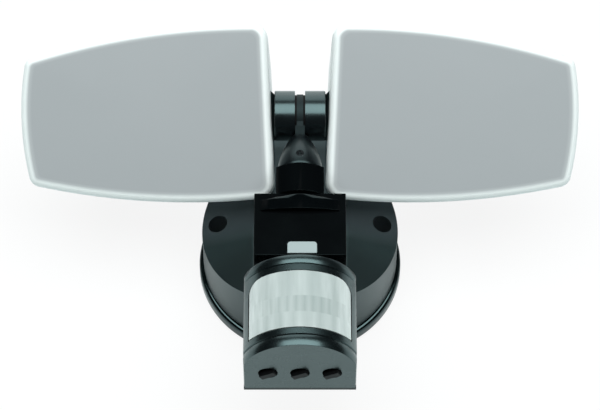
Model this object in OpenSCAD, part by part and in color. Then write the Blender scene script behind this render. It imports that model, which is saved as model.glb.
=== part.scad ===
// Wall floodlight with two tilting lamp heads and a motion sensor.
// The origin is the middle of the wall face. +Y goes into the wall, +Z is up, the lamp looks along -Y.

/* [Wall base] */
// Radius of the wall plate
plate_r = 58; // [57:0.5:62]
// Depth of the wall plate from the wall to the front of its rim
plate_t = 8; // [7:0.5:10]
// Thickness of the wall plate's floor
plate_floor = 3; // [2.5:0.25:3.5]
// Width of the wall plate's rim
plate_rim = 7.5; // [6.5:0.5:9]
// Thickness of the seal between plate and cover
seal_t = 1.2; // [0.8:0.1:2]
// Width of the seal
seal_w = 2.6; // [2:0.2:3]
// Step from the cover's drum in to the seal
seal_step = 1.3; // [0.8:0.1:1.8]
// Radius of the cover's drum
cover_r = 55.5; // [55:0.25:56.5]
// Wall of the cover and of the arm
cover_wall = 2.6; // [2:0.2:2.6]
// Distance from the wall to the cover's middle face
cover_d = 52; // [48:0.5:53]
// Distance from the wall to the cover's wings at their outer edge
wing_d = 39.5; // [36:0.5:43]

/* [Wall screws] */
// Half the spacing of the two wall screw holes
wall_hole_x = 46.5; // [44:0.25:46.75]
// Height of the wall screw holes above the middle
wall_hole_z = 2.5; // [0:0.5:6]
// Radius of a wall screw hole
wall_hole_r = 2.75; // [2:0.25:3]
// Radius of the recess that takes the screw's head
recess_r = 5.4; // [4.5:0.1:5.6]
// Wall round the screw recess
recess_wall = 2.2; // [1.6:0.1:2.6]
// Distance from the wall to the seat of the screw's head
seat_d = 14; // [12:0.5:18]
// Radius of the post under the screw seat
seat_post_r = 4.4; // [4:0.1:4.6]

/* [Cable entry] */
// Height of the cable entry above the middle
cable_z = 10; // [9:0.5:14]
// Radius of the cable entry in the grommet
cable_r = 4.5; // [3:0.25:5]
// Wall of the grommet
grommet_wall = 3; // [2:0.25:3.5]
// Width of the grommet's flange
grommet_flange = 2.5; // [1.5:0.25:3]
// Thickness of the grommet's flange
grommet_flange_t = 2; // [1.5:0.25:3]

/* [Arm] */
// Half width of the arm
arm_hw = 25; // [24:0.25:26]
// Distance from the drum's front to the front of the arm
arm_l = 46.5; // [46.5:0.25:48]
// Height of the arm's top
arm_top = -12; // [-14:0.5:-10]
// Height of the arm's underside
arm_bottom = -51; // [-53:0.5:-50]
// Radius of the arm's upright front edges
arm_edge_r = 4; // [3:0.25:6]
// Width of the bare pale plate on the arm
label_w = 16; // [12:0.5:20]
// Height of the pale plate
label_h = 7.2; // [5:0.2:7.6]
// Thickness of the pale plate
label_t = 1; // [0.6:0.1:1.4]
// How far the pale plate stands proud
label_proud = 0.4; // [0.2:0.1:0.6]
// Height of the pale plate's top edge above the arm's underside
label_rise = 8.2; // [8:0.1:10]
// How far the pale plate sits right of the middle
label_x = 1.2; // [-2:0.2:2]
// Radius of the pale plate's corners
label_r = 1.8; // [1:0.1:2.4]

/* [Neck] */
// Gap between the swivel nut and the arm's front wall
swivel_gap = 0.5; // [0.5:0.1:1.5]
// Height of the neck's top
neck_top = 5.7; // [4:0.1:7]
// Half width of the neck's column
neck_hw = 13.2; // [12.5:0.1:13.4]
// How far the neck's front stands before the arm
neck_proud = 3.7; // [3.2:0.1:4.5]
// Radius of the column's front in plan
column_round = 20; // [16:0.5:24]
// Half width of the neck's foot
foot_hw = 21.4; // [19:0.2:23]
// Radius of the foot's front in plan
foot_round = 90; // [80:1:120]
// Height of the foot's lower edge
foot_bottom = -23.4; // [-26:0.2:-21]
// Height of the foot's straight edge
foot_h = 6.4; // [5:0.2:7]
// Height of the concave flare above the foot
flare_h = 8; // [6:0.25:10]
// Length of the heel behind the column
heel_l = 26; // [24:0.5:30]
// Height of the heel
heel_h = 6; // [4:0.25:7]

/* [Swivel post] */
// Radius of the post's shank in the neck
shank_r = 5.5; // [5:0.25:5.5]
// Running clearance of a turning fit, on the radius
run_gap = 0.05; // [0.02:0.01:0.1]
// Gap between faces that turn past each other
face_gap = 0.15; // [0.1:0.05:0.3]
// Gap between parts that move freely
free_gap = 0.4; // [0.3:0.1:0.6]
// Thickness of the friction washer under the bell
washer_t = 1; // [0.6:0.1:1.6]
// Radius of the bell
bell_r = 12.6; // [11.5:0.1:13]
// Height of the bell
bell_h = 21; // [18:0.5:23]
// Curve of the bell's side, 1 for a plain cone
bell_curve = 1.5; // [1.2:0.1:2]
// Radius of the bell's flat top
bell_top_r = 5; // [4:0.25:6]
// Bore of the post's shank
shank_bore_r = 3.6; // [2.6:0.2:3.8]
// Thickness of the stem between the barrels
stem_w = 3.4; // [3:0.1:3.4]
// Depth of the stem
stem_l = 16; // [12:0.5:18]
// Radius of the wire channel in the post
channel_r = 1.3; // [0.8:0.1:1.5]
// Thickness of the swivel nut
nut_t = 3.5; // [2.5:0.25:5]
// Width of the swivel nut's ring
nut_w = 1.9; // [1.4:0.1:2]
// Width of the wrench notches in the swivel nut
nut_notch = 2.4; // [1.6:0.2:3]
// Radius of the bell screw's head
bell_screw_r = 2; // [1.6:0.1:2.6]
// Thickness of the bell screw's head
bell_screw_t = 1.4; // [1:0.1:1.6]
// Height of the bell screw above the bell's lower edge
bell_screw_z = 6.6; // [4:0.2:7.5]

/* [Head pivots] */
// Height of the heads' pivot
hinge_z = 46.1; // [45:0.1:48]
// Outward turn of each head
head_toe = 5; // [2:0.5:7]
// Downward tilt of each head
head_pitch = 32; // [20:1:36]
// Radius of the lug
lug_r = 12; // [11:0.1:12.6]
// Half thickness of the lug along the pivots
lug_hw = 1.85; // [1.75:0.05:2.4]
// Thickness of a pivot's friction washer
pivot_washer_t = 0.8; // [0.5:0.1:1.2]
// Radius of a pivot spigot
spigot_r = 6; // [5:0.25:6.5]
// Bore of a pivot spigot
spigot_bore_r = 3.5; // [2:0.25:4]
// Radius of a barrel
barrel_r = 14; // [13:0.1:14.4]
// Distance from the middle to a barrel's outer end
barrel_end = 14.2; // [13.6:0.1:14.6]
// Length of the barrel's bearing
bearing_l = 7; // [6:0.25:7.5]
// Thickness of a pivot nut
pivot_nut_t = 2.4; // [1.6:0.2:2.8]
// Radius of a pivot nut over its corners
pivot_nut_r = 9; // [8:0.1:9.2]

/* [Lamp heads] */
// Distance from the middle to a head's inner edge
head_in = 15.5; // [15:0.1:17]
// Length of a head
head_l = 140.5; // [130:0.5:150]
// Greatest half height of a head
head_hh = 49.6; // [46:0.2:52]
// Distance from a head's inner edge to its highest place
head_crest = 29.5; // [20:0.5:40]
// Radius of a head's long edges
edge_round = 403; // [360:1:480]
// Radius of a head's outer edge
end_round = 160; // [120:1:240]
// Corner radius at the inner edge
corner_in = 9; // [7:0.25:11]
// Corner radius at the outer edge
corner_out = 7; // [6:0.25:9]
// Height of a head's middle line above its pivot
head_rise = 3.5; // [0:0.25:4]
// Distance from the pivot to the head's face
face_d = 14; // [13:0.25:15]
// Depth of the diffuser
diffuser_t = 8.8; // [7.5:0.1:9.5]
// Wall of the diffuser
diffuser_wall = 2; // [1.6:0.1:2.4]
// Radius of the diffuser's front edge
diffuser_round = 4.5; // [3:0.25:5]
// Thickness of a head's seal
head_seal_t = 0.8; // [0.6:0.1:1.2]
// Width of a head's seal
head_seal_w = 1.8; // [1.4:0.1:2.2]
// Step from the diffuser's outline in to the housing
housing_step = 0.5; // [0.2:0.1:0.8]
// Wall of the housing
housing_wall = 2.4; // [2:0.1:2.8]
// Depth of the housing's straight band
band_t = 4.6; // [3:0.2:6]
// Distance from the face to the housing's back
housing_d = 26.5; // [25:0.25:28]
// Half height of the housing's back at the inner end
back_hh_in = 26; // [22:0.5:30]
// Half height of the housing's back at the outer end
back_hh_out = 17; // [14:0.5:20]
// Distance from the inner edge to the outer end of the housing's back
back_l = 102; // [90:1:110]
// Corner radius of the housing's back
back_round = 8; // [6:0.5:10]
// Cooling fins on each housing
fin_count = 7; // [3:1:9]
// Thickness of a cooling fin
fin_t = 1.8; // [1.2:0.1:2.4]
// How far the fins stand out of the back
fin_h = 3; // [1:0.25:4]

/* [LED boards] */
// Thickness of an LED board
led_board_t = 1.6; // [1:0.1:2]
// Distance from the face to an LED board
led_board_d = 11.6; // [11.2:0.1:12.4]
// Distance from the inner edge to an LED board
led_board_in = 22.5; // [21:0.5:25]
// Gap between an LED board's outer end and the outer screw wells
led_board_gap = 4.8; // [3:0.2:10]
// Half height of an LED board at the inner end
led_board_hh_in = 36; // [32:0.5:38]
// Half height of an LED board at the outer end
led_board_hh_out = 27; // [24:0.5:28]
// LED columns on a board
led_columns = 5; // [3:1:6]
// LED rows on a board
led_rows = 4; // [2:1:4]
// Side of an LED
led_w = 3.2; // [2.4:0.1:4]
// Height of an LED
led_h = 0.8; // [0.5:0.1:1]

/* [Sensor head] */
// Half width of the sensor
sensor_hw = 30; // [29:0.25:30]
// Distance from the pan axis forward to the front of the sensor
sensor_reach = 33; // [32:0.25:35]
// Distance from the pan axis back to the back of the sensor
sensor_tail = 17; // [15:0.25:18]
// Radius of the sensor's front in plan
sensor_round = 31.5; // [31.5:0.25:36]
// Height of the sensor's top
sensor_top_z = -62; // [-64:0.25:-61.5]
// Height of the sensor's case between the two caps
case_h = 43; // [42:0.2:44.6]
// Thickness of the top cap
top_cap_t = 5.4; // [4.5:0.1:6]
// Thickness of the bottom cap
bottom_cap_t = 6.4; // [5.6:0.2:7]
// Thickness of the back cover
back_cover_t = 2; // [1.8:0.1:2.4]
// Wall of the sensor's case
case_wall = 2.2; // [1.8:0.1:2.6]
// Height of the groove under the top cap
groove_h = 0.8; // [0.5:0.1:1.2]
// Depth of the groove under the top cap
groove_d = 0.9; // [0.5:0.1:1.2]
// Half width of the lens
lens_hw = 27.2; // [26:0.1:27.4]
// Height of the lens
lens_h = 34.6; // [32:0.2:36]
// Distance from the top cap to the lens
lens_drop = 4.5; // [4:0.1:5]
// Radius of the lens window's upper corners
lens_corner = 7; // [4:0.25:9]
// Radius of the lens window's lower corners
lens_foot_r = 1.5; // [1:0.25:4]
// Thickness of the lens behind the case wall
lens_t = 1.2; // [0.8:0.1:1.6]
// How far the lens stands proud of the case
lens_proud = 0.4; // [0.2:0.1:0.6]
// Width of the lens's flange
lens_flange = 1.2; // [0.6:0.1:1.6]

/* [Sensor joint] */
// Distance from the arm's front back to the sensor's pan axis and tilt pin
pan_back = 13.5; // [12.5:0.25:14]
// Height of the tilt pin above the arm's underside
tilt_rise = 7; // [6.5:0.25:8]
// Radius of the knuckle's drum
drum_r = 8; // [7:0.25:8]
// Half length of the knuckle's drum
drum_hw = 10; // [8:0.25:11]
// Radius of the tilt pin
pin_r = 2.5; // [2:0.1:3]
// Thickness of the ears that hold the tilt pin
ear_t = 3; // [2.4:0.2:4]
// Radius of the ears round the pin
ear_r = 6.5; // [5:0.25:7]
// Radius of the sensor's stem
stem_r = 6; // [5:0.25:6.5]
// Radius of the collar on the stem
collar_r = 8.5; // [7.5:0.25:9]
// Thickness of the collar
collar_t = 2.6; // [2:0.2:3]
// Radius of the retaining clip
clip_r = 9.4; // [8.5:0.2:10]
// Thickness of the retaining clip
clip_t = 1.6; // [1:0.1:2]
// Half length of the slot in the arm's underside
slot_hl = 9.4; // [9.2:0.1:10]

/* [Dials] */
// Spacing of the dials
dial_pitch = 17; // [14:0.5:18]
// Distance from the sensor's front back to the dials
dial_set = 31.5; // [30:0.5:34]
// Radius of a dial
dial_r = 4.8; // [4:0.1:5.2]
// Thickness of a dial in the bottom cap
dial_t = 4; // [3.4:0.2:5]
// Width of the bar across a dial
dial_bar_w = 3.6; // [2.8:0.2:4.4]
// How far a dial's bar stands below the sensor
dial_bar_below = 1.9; // [1:0.1:2.4]
// Turn of the dials as drawn
dial_turn = -30; // [-90:5:90]
// Width of a dial's flange inside the cap
dial_flange = 0.9; // [0.7:0.1:1.2]
// Thickness of a dial's flange
dial_flange_t = 1; // [0.8:0.1:1.4]
// Radius of a dial's shaft
dial_shaft_r = 1.5; // [1.2:0.1:2]
// Width of a trimmer
trimmer_w = 9; // [7.5:0.25:9.5]
// Height of a trimmer
trimmer_h = 6; // [5:0.25:6.5]

/* [Sensor boards] */
// Thickness of the sensor's boards
board_t = 1.6; // [1:0.1:2]
// Height of the control board above the case's lower edge
control_rise = 8; // [7.8:0.1:9]
// Gap between the control board and the case's side walls
control_gap = 1.6; // [0.6:0.2:2.4]
// Length of the control board
control_l = 18; // [16:0.5:20]
// Half width of the detector board
detector_hw = 22; // [18:0.5:24]
// Height of the detector board
detector_h = 25; // [20:0.5:27]
// Radius of the infrared detector
pyro_r = 4.6; // [4:0.1:5]
// Height of the infrared detector
pyro_h = 4.4; // [3.5:0.1:5]
// Radius of the light cell
cell_r = 2.5; // [2:0.1:3]

/* [Driver] */
// Width of the driver board
driver_w = 46; // [42:0.5:48]
// Height of the driver board
driver_h = 46; // [40:0.5:48]
// Distance from the wall to the driver board
driver_d = 22; // [20:0.5:24]
// Height of the driver board's middle
driver_z = 6; // [4:0.5:8]
// Radius of the driver board's posts
driver_post_r = 3; // [2.4:0.1:3.4]
// Distance from the driver board's edge to its posts
driver_post_in = 4; // [3.6:0.1:5]
// Width of the terminal block
terminal_w = 30; // [26:0.5:34]
// Height of the terminal block
terminal_h = 13; // [11:0.5:14]
// Depth of the terminal block
terminal_d = 14; // [12:0.5:16]
// Height of the terminal block's top
terminal_z = -28; // [-30:0.5:-27]
// Spacing of the terminals
terminal_pitch = 9; // [7.5:0.25:9.5]
// Radius of a supply lead
lead_r = 1.1; // [0.8:0.1:1.4]

/* [Screws] */
// Radius of a cover or neck screw
screw_r = 1.4; // [1.2:0.1:1.6]
// Radius of a cover or neck screw's head
screw_head_r = 2.7; // [2.4:0.1:3]
// Thickness of a cover or neck screw's head
screw_head_t = 1.7; // [1.4:0.1:1.8]
// Length of a cover or neck screw's thread
screw_l = 12; // [9:0.5:14]
// Across place of the cover screws
cover_screw_x = 29; // [28:0.25:30]
// Height of the cover screws above and below the middle
cover_screw_z = 34; // [33:0.25:35]
// Radius of the bosses for the cover screws
boss_r = 3.6; // [3.2:0.1:4]
// Radius of a small screw
small_screw_r = 1.1; // [0.9:0.1:1.2]
// Radius of a small screw's head
small_head_r = 2.1; // [1.9:0.1:2.3]
// Thickness of a small screw's head
small_head_t = 1.2; // [0.9:0.1:1.3]

/* [Hidden] */
$fn = 64;

BLACK = [0.10, 0.11, 0.12];
GRAPHITE = [0.22, 0.24, 0.25];
OPAL = [0.80, 0.84, 0.85];
RUBBER = [0.05, 0.05, 0.05];
STEEL = [0.68, 0.69, 0.70];
BRASS = [0.78, 0.63, 0.30];
BOARD = [0.13, 0.36, 0.22];
ALUMINIUM = [0.82, 0.83, 0.84];
LEADS = [0.35, 0.25, 0.20];

TRIMMER_BLUE = [0.16, 0.32, 0.55];
CELL_RED = [0.75, 0.45, 0.30];

LEFT = -1;
RIGHT = 1;
// Overlap that joins unions, reach of a cut past a face, and thickness of a slice in a hull
eps = 0.02;
cut = 1;
slice_t = 0.01;
// Clearances of a screw: round its shank, round and over its head, and past its tip
shank_gap = 0.1;
sink_gap = 0.2;
tip_gap = 0.3;

// Base levels, as distances from the wall
cover_back_d = plate_t + seal_t;
plate_pocket_r = plate_r - plate_rim;
seal_outer_r = cover_r - seal_step;
wing_reach = cover_r;
grommet_r = cable_r + grommet_wall;
cover_screw_seat = screw_head_t + sink_gap;

// Terminal block and supply leads
terminal_screw_r = 2;
terminal_screw_l = 5;
terminal_screw_sink = 0.6;
terminal_slot_w = 0.6;
terminal_slot_d = 0.8;
terminal_mouth_r = lead_r + 0.6;
terminal_mouth_l = 4;
terminal_front_d = plate_floor + terminal_d;
terminal_screw_d = terminal_front_d - terminal_screw_l;
terminal_mid_z = terminal_z - terminal_h / 2;
lead_d = plate_floor + terminal_d / 2;
lead_turn_z = driver_z - driver_h / 2 + 3;

// Parts on the driver board, at places from the board's middle
driver_front_d = driver_d + board_t;
transformer_place = [-11, 9];
transformer_core = [20, 9, 15];
transformer_winding = [12, 17, 12];
relay_place = [11, -6];
relay_size = [17, 10, 13];
capacitor_place = [11, 12];
capacitor_r = 5;
capacitor_l = 16;

// Neck levels
arm_d = cover_d + arm_l;
neck_d = arm_d + neck_proud;
foot_top = foot_bottom + foot_h;
arm_floor = arm_bottom + cover_wall;
arm_ceiling = arm_top - cover_wall;
flare_steps = 5;
neck_screw_in = 5;
arm_screw_l = cover_wall + heel_h - cut;
arm_boss_r = 3;
arm_boss_bond = 0.2;
arm_screw_x = arm_hw - cover_wall - arm_boss_r + arm_boss_bond;
arm_screw_z = (arm_top + arm_bottom) / 2;
arm_gate_hw = arm_screw_x - screw_head_r - cut;

// Swivel post levels
bell_bottom = neck_top + washer_t + face_gap;
bell_top = bell_bottom + bell_h;
bell_steps = 12;
stem_sink = 13;
stem_start = bell_top - stem_sink;
shank_bottom = arm_ceiling - face_gap - nut_t;
nut_r = shank_r + nut_w;
swivel_d = arm_d - cover_wall - swivel_gap - nut_r;
washer_step = 0.6;
bell_screw_shank_r = 1;
bell_screw_l = 5;
bell_screw_sink = 1;
bell_slot_l = 2.8;
bell_slot_w = 0.6;
bell_slot_d = 0.7;

// Places along the pivot axis, on each side of the lug
spigot_root = 1.2;
spigot_bore_root = 0.8;
barrel_start = lug_hw + pivot_washer_t + face_gap;
bearing_end = barrel_start + bearing_l;
pivot_nut_start = bearing_end + face_gap;
spigot_end = pivot_nut_start + pivot_nut_t;
nut_pocket_r = pivot_nut_r + free_gap;
pivot_washer_r = lug_r - 0.4;
knuckle_screw_r = 0.8;
knuckle_head_r = 1.7;
knuckle_screw_rad = (nut_pocket_r + barrel_r) / 2;
knuckle_screw_angle = 40;
toe_room = barrel_r * sin(head_toe) + cut;
pivot_shift = barrel_end * sin(head_toe) * [-cos(head_pitch), sin(head_pitch)];
knuckle_screw_bite = 4;

// Head places, a along the head, b up it, and depths behind its face
head_out = head_in + head_l;
crest_a = head_in + head_crest;
housing_front = diffuser_t + head_seal_t;
band_end = housing_front + band_t;
housing_in = head_in + housing_step;
back_out = head_in + back_l;
inner_face = housing_in + housing_wall;
led_board_back = led_board_d + led_board_t;
seal_inset = housing_step + 0.3;
pad_front = housing_front + 0.3;
knuckle_screw_l = inner_face - barrel_end + knuckle_screw_bite;
fin_first = housing_in + 18;
fin_last = back_out - 14;
fin_margin = 3;
fin_root = 2;
case_screw_seat = housing_front + 3.6;
case_screw_bite = 5;
case_boss_r = 2.9;
case_tube_r = 4.2;
case_near = head_in + corner_in + 5;
case_far = head_out - corner_out - 8;
led_board_l = case_far - case_tube_r - led_board_gap - head_in - led_board_in;
case_near_b = head_hh - 13;
case_far_b = edge_height(head_out) - 9.5;
case_places = [
    [case_near, case_near_b], [case_near, -case_near_b],
    [case_far, case_far_b], [case_far, -case_far_b]
];
board_boss_r = 3;
board_screw_in = 6;
board_screw_l = 6;
led_margin = 15;
board_places = [for (end = [0, 1], s = [-1, 1]) [
    head_in + led_board_in + (end == 0 ? board_screw_in : led_board_l - board_screw_in),
    s * ((end == 0 ? led_board_hh_in : led_board_hh_out) - board_screw_in)
]];

// Sensor levels
pan_d = arm_d - pan_back;
sensor_d = pan_d + sensor_reach;
sensor_back_d = pan_d - sensor_tail;
sensor_l = sensor_reach + sensor_tail;
dial_d = sensor_d - dial_set;
body_back_d = sensor_back_d + back_cover_t;
case_top = sensor_top_z - top_cap_t;
case_bottom = case_top - case_h;
sensor_bottom = case_bottom - bottom_cap_t;
lens_top = case_top - lens_drop;
lens_bottom = lens_top - lens_h;
tilt_z = arm_bottom + tilt_rise;
clip_top = case_top - face_gap;
stem_tip = 2;
stem_bottom = clip_top - clip_t - stem_tip;
control_z = case_bottom + control_rise;
control_hw = sensor_hw - case_wall - control_gap;
detector_d = dial_d + trimmer_w / 2 + 1.2;
pyro_flange = 0.6;
pyro_flange_t = 0.6;
cell_place = [13, 8];
control_back_d = dial_d - control_l / 2;
dial_bottom = case_bottom + face_gap - dial_t;
dial_hole_r = dial_r + free_gap;
dial_top = dial_bottom + dial_t + dial_flange_t;
dial_shaft_top = control_z - 1.6;
dial_bar_l = 2 * sqrt(pow(dial_r, 2) - pow(dial_bar_w / 2, 2));
dial_bar_bottom = sensor_bottom - dial_bar_below;
lens_gap = 0.15;
window_depth = 23;
window_back_d = sensor_d - window_depth;
sensor_post_r = 3.4;
sensor_post_l = 9;
sensor_post_bond = 0.2;
sensor_post_drop = 1.6;
sensor_post_rise = 0.8;
sensor_post_x = sensor_hw - case_wall - sensor_post_r + sensor_post_bond;
sensor_post_zs = [
    case_top - sensor_post_r - sensor_post_drop,
    case_bottom + sensor_post_r + sensor_post_rise
];
sensor_screw_bite = 7;
sensor_screw_sink = small_head_t + sink_gap;
shelf_t = 2;
shelf_w = 3.6;
shelf_l = 12;

// Axes of the wall base: x right, y up, z out of the wall
module wall_frame() {
    rotate([90, 0, 0])
        children();
}

// A prism along the wall frame's up axis, from a plan of x and distance from the wall
module plan_prism(z0, z1) {
    translate([0, 0, z0])
        linear_extrude(height = z1 - z0)
            scale([1, -1])
                children();
}

// A round bar along x
module x_bar(r, x0, x1) {
    translate([x0, 0, 0])
        rotate([0, 90, 0])
            cylinder(r = r, h = x1 - x0);
}

// A screw along +z whose head's seat is at z = 0
module screw(r, l, head_r, head_t) {
    translate([0, 0, -head_t])
        cylinder(r = head_r, h = head_t);
    translate([0, 0, -eps])
        cylinder(r = r, h = l + eps);
}

// The cover's places that repeat left and right
module wall_hole_places() {
    for (s = [-1, 1])
        translate([s * wall_hole_x, wall_hole_z, 0])
            children();
}

module cover_screw_places() {
    for (sx = [-1, 1], sz = [-1, 1])
        translate([sx * cover_screw_x, sz * cover_screw_z, 0])
            children();
}

module driver_post_places() {
    post_x = driver_w / 2 - driver_post_in;
    post_z = driver_h / 2 - driver_post_in;
    for (sx = [-1, 1], sz = [-1, 1])
        translate([sx * post_x, driver_z + sz * post_z, 0])
            children();
}

module back_plate() {
    color(BLACK)
        wall_frame()
            difference() {
                union() {
                    difference() {
                        cylinder(r = plate_r, h = plate_t);
                        translate([0, 0, plate_floor])
                            cylinder(r = plate_pocket_r, h = plate_t);
                    }
                    driver_post_places()
                        cylinder(r = driver_post_r, h = driver_d);
                }
                wall_hole_places() {
                    translate([0, 0, -cut])
                        cylinder(r = wall_hole_r, h = plate_t + 2 * cut);
                    translate([0, 0, plate_floor])
                        cylinder(r = seat_post_r + free_gap, h = plate_t);
                }
                translate([0, cable_z, -cut])
                    cylinder(r = grommet_r, h = plate_t + 2 * cut);
                cover_screw_places()
                    translate([0, 0, -cut]) {
                        cylinder(r = screw_r + shank_gap, h = plate_t + 2 * cut);
                        cylinder(r = screw_head_r + sink_gap, h = cut + cover_screw_seat);
                    }
            }
}

module base_seal() {
    color(RUBBER)
        wall_frame()
            translate([0, 0, plate_t])
                difference() {
                    cylinder(r = seal_outer_r, h = seal_t);
                    translate([0, 0, -cut])
                        cylinder(r = seal_outer_r - seal_w, h = seal_t + 2 * cut);
                }
}

// The drum with its sloping wings, drawn in by a wall
module drum(inset, back) {
    front = cover_d - inset;
    wing = wing_d - inset;
    intersection() {
        cylinder(r = cover_r - inset, h = cover_d);
        rotate([90, 0, 0])
            linear_extrude(height = 2 * cover_r, center = true)
                polygon([
                    [-wing_reach, back], [-wing_reach, wing], [-arm_hw, front],
                    [arm_hw, front], [wing_reach, wing], [wing_reach, back]
                ]);
    }
}

// Plan of the arm from the wall side to its rounded front, drawn in by a wall
module arm_plan(inset, back) {
    r = arm_edge_r - inset / 2;
    hw = arm_hw - inset;
    front = arm_d - inset;
    translate([-hw, back])
        square([2 * hw, front - r - back]);
    translate([r - hw, back])
        square([2 * (hw - r), front - back]);
    for (s = [-1, 1])
        translate([s * (hw - r), front - r])
            circle(r = r);
}

module front_cover() {
    color(BLACK)
        difference() {
            union() {
                wall_frame()
                    difference() {
                        drum(0, cover_back_d);
                        drum(cover_wall, cover_back_d - cut);
                    }
                wall_frame()
                    intersection() {
                        drum(0, plate_floor);
                        union() {
                            wall_hole_places() {
                                translate([0, 0, plate_floor])
                                    cylinder(r = seat_post_r, h = seat_d);
                                translate([0, 0, seat_d - cover_wall])
                                    cylinder(r = recess_r + recess_wall, h = cover_d);
                            }
                            cover_screw_places()
                                translate([0, 0, plate_floor])
                                    cylinder(r = boss_r, h = cover_d);
                        }
                    }
            }
            wall_frame() {
                wall_hole_places() {
                    cylinder(r = wall_hole_r, h = cover_d);
                    translate([0, 0, seat_d])
                        cylinder(r = recess_r, h = cover_d);
                }
                cover_screw_places()
                    cylinder(r = screw_r, h = cover_screw_seat + screw_l + tip_gap);
                arm_screw_places()
                    translate([0, 0, -cut])
                        cylinder(r = screw_r + shank_gap, h = cover_wall + 2 * cut);
            }
            plan_prism(arm_floor, arm_ceiling)
                translate([-arm_gate_hw, cover_d - cover_wall - cut])
                    square([2 * arm_gate_hw, cover_wall + 2 * cut]);
        }
}

// Seats of the two screws that hold the arm to the drum's front
module arm_screw_places() {
    for (s = [-1, 1])
        translate([s * arm_screw_x, arm_screw_z, cover_d - cover_wall])
            children();
}

module arm_cover() {
    color(BLACK)
        difference() {
            union() {
                difference() {
                    plan_prism(arm_bottom, arm_top)
                        arm_plan(0, cover_d);
                    plan_prism(arm_floor, arm_ceiling)
                        arm_plan(cover_wall, cover_d - cut);
                }
                wall_frame()
                    arm_screw_places()
                        translate([0, 0, cover_wall])
                            cylinder(r = arm_boss_r, h = arm_screw_l);
                for (s = [-1, 1])
                    sensor_ear(s);
            }
            wall_frame()
                arm_screw_places()
                    cylinder(r = screw_r, h = arm_screw_l);
            translate([0, -swivel_d, arm_ceiling - cut])
                cylinder(r = shank_r + free_gap, h = cover_wall + 2 * cut);
            neck_screw_places()
                translate([0, 0, -cut])
                    cylinder(r = screw_r + shank_gap, h = cover_wall + 2 * cut);
            translate([-drum_hw - free_gap, -pan_d - slot_hl, arm_bottom - cut])
                cube([2 * (drum_hw + free_gap), 2 * slot_hl, cover_wall + cut + eps]);
            translate([0, -pan_d, tilt_z])
                x_bar(pin_r, -arm_hw + cover_wall, arm_hw - cover_wall);
            label_block();
        }
}

// An ear inside the arm that holds one end of the sensor's tilt pin
module sensor_ear(s) {
    x0 = s > 0 ? drum_hw + free_gap : -drum_hw - free_gap - ear_t;
    translate([x0, -pan_d - ear_r, arm_floor - eps])
        cube([ear_t, 2 * ear_r, tilt_z - arm_floor + eps]);
    translate([0, -pan_d, tilt_z])
        x_bar(ear_r, x0, x0 + ear_t);
}

// The pale plate's body, which is also its pocket in the arm
module label_block() {
    top = arm_bottom + label_rise;
    translate([label_x, label_t - label_proud - arm_d, top - label_h])
        rotate([90, 0, 0])
            linear_extrude(height = label_t) {
                translate([-label_w / 2, 0])
                    square([label_w, label_h - label_r]);
                translate([label_r - label_w / 2, 0])
                    square([label_w - 2 * label_r, label_h]);
                for (s = [-1, 1])
                    translate([s * (label_w / 2 - label_r), label_h - label_r])
                        circle(r = label_r);
            }
}

module label_plate() {
    color(OPAL)
        label_block();
}

module cover_screws() {
    color(STEEL)
        wall_frame()
            cover_screw_places()
                translate([0, 0, cover_screw_seat])
                    screw(screw_r, screw_l, screw_head_r, screw_head_t);
}

module cable_grommet() {
    color(RUBBER)
        wall_frame()
            translate([0, cable_z, 0])
                difference() {
                    union() {
                        cylinder(r = grommet_r, h = plate_floor + grommet_flange_t);
                        translate([0, 0, plate_floor])
                            cylinder(r = grommet_r + grommet_flange, h = grommet_flange_t);
                    }
                    translate([0, 0, -cut])
                        cylinder(r = cable_r, h = plate_floor + grommet_flange_t + 2 * cut);
                }
}

// The terminal block's three places across it
module terminal_places() {
    for (i = [-1, 0, 1])
        translate([i * terminal_pitch, 0, 0])
            children();
}

module terminal_block() {
    color(OPAL)
        wall_frame()
            difference() {
                translate([-terminal_w / 2, terminal_z - terminal_h, plate_floor])
                    cube([terminal_w, terminal_h, terminal_d]);
                terminal_places() {
                    translate([0, terminal_mid_z, terminal_screw_d])
                        cylinder(r = terminal_screw_r, h = terminal_screw_l + cut);
                    translate([0, terminal_z - terminal_h - cut, lead_d])
                        rotate([-90, 0, 0])
                            cylinder(r = terminal_mouth_r, h = terminal_mouth_l + cut);
                }
            }
}

module terminal_screws() {
    head_l = terminal_screw_l - terminal_screw_sink;
    color(BRASS)
        wall_frame()
            terminal_places()
                translate([0, terminal_mid_z, terminal_screw_d])
                    difference() {
                        cylinder(r = terminal_screw_r, h = head_l);
                        translate([-terminal_screw_r, -terminal_slot_w / 2, head_l - terminal_slot_d])
                            cube([2 * terminal_screw_r, terminal_slot_w, terminal_slot_d + cut]);
                    }
}

module supply_leads() {
    color(LEADS)
        wall_frame()
            terminal_places() {
                translate([0, terminal_z, lead_d])
                    rotate([-90, 0, 0])
                        cylinder(r = lead_r, h = lead_turn_z - terminal_z);
                translate([0, lead_turn_z, lead_d]) {
                    sphere(r = lead_r);
                    cylinder(r = lead_r, h = driver_d - lead_d);
                }
            }
}

module driver_board() {
    color(BOARD)
        wall_frame()
            translate([-driver_w / 2, driver_z - driver_h / 2, driver_d])
                cube([driver_w, driver_h, board_t]);
}

// A place on the front of the driver board, from the board's middle
module on_driver(place) {
    wall_frame()
        translate([place.x, driver_z + place.y, driver_front_d])
            children();
}

// A block standing on the middle of its base
module standing_block(size) {
    translate([-size.x / 2, -size.y / 2, 0])
        cube(size);
}

module driver_transformer() {
    color(GRAPHITE)
        on_driver(transformer_place) {
            standing_block(transformer_core);
            standing_block(transformer_winding);
        }
}

module driver_capacitor() {
    color(GRAPHITE)
        on_driver(capacitor_place)
            cylinder(r = capacitor_r, h = capacitor_l);
}

module driver_relay() {
    color(BOARD)
        on_driver(relay_place)
            standing_block(relay_size);
}

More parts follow.
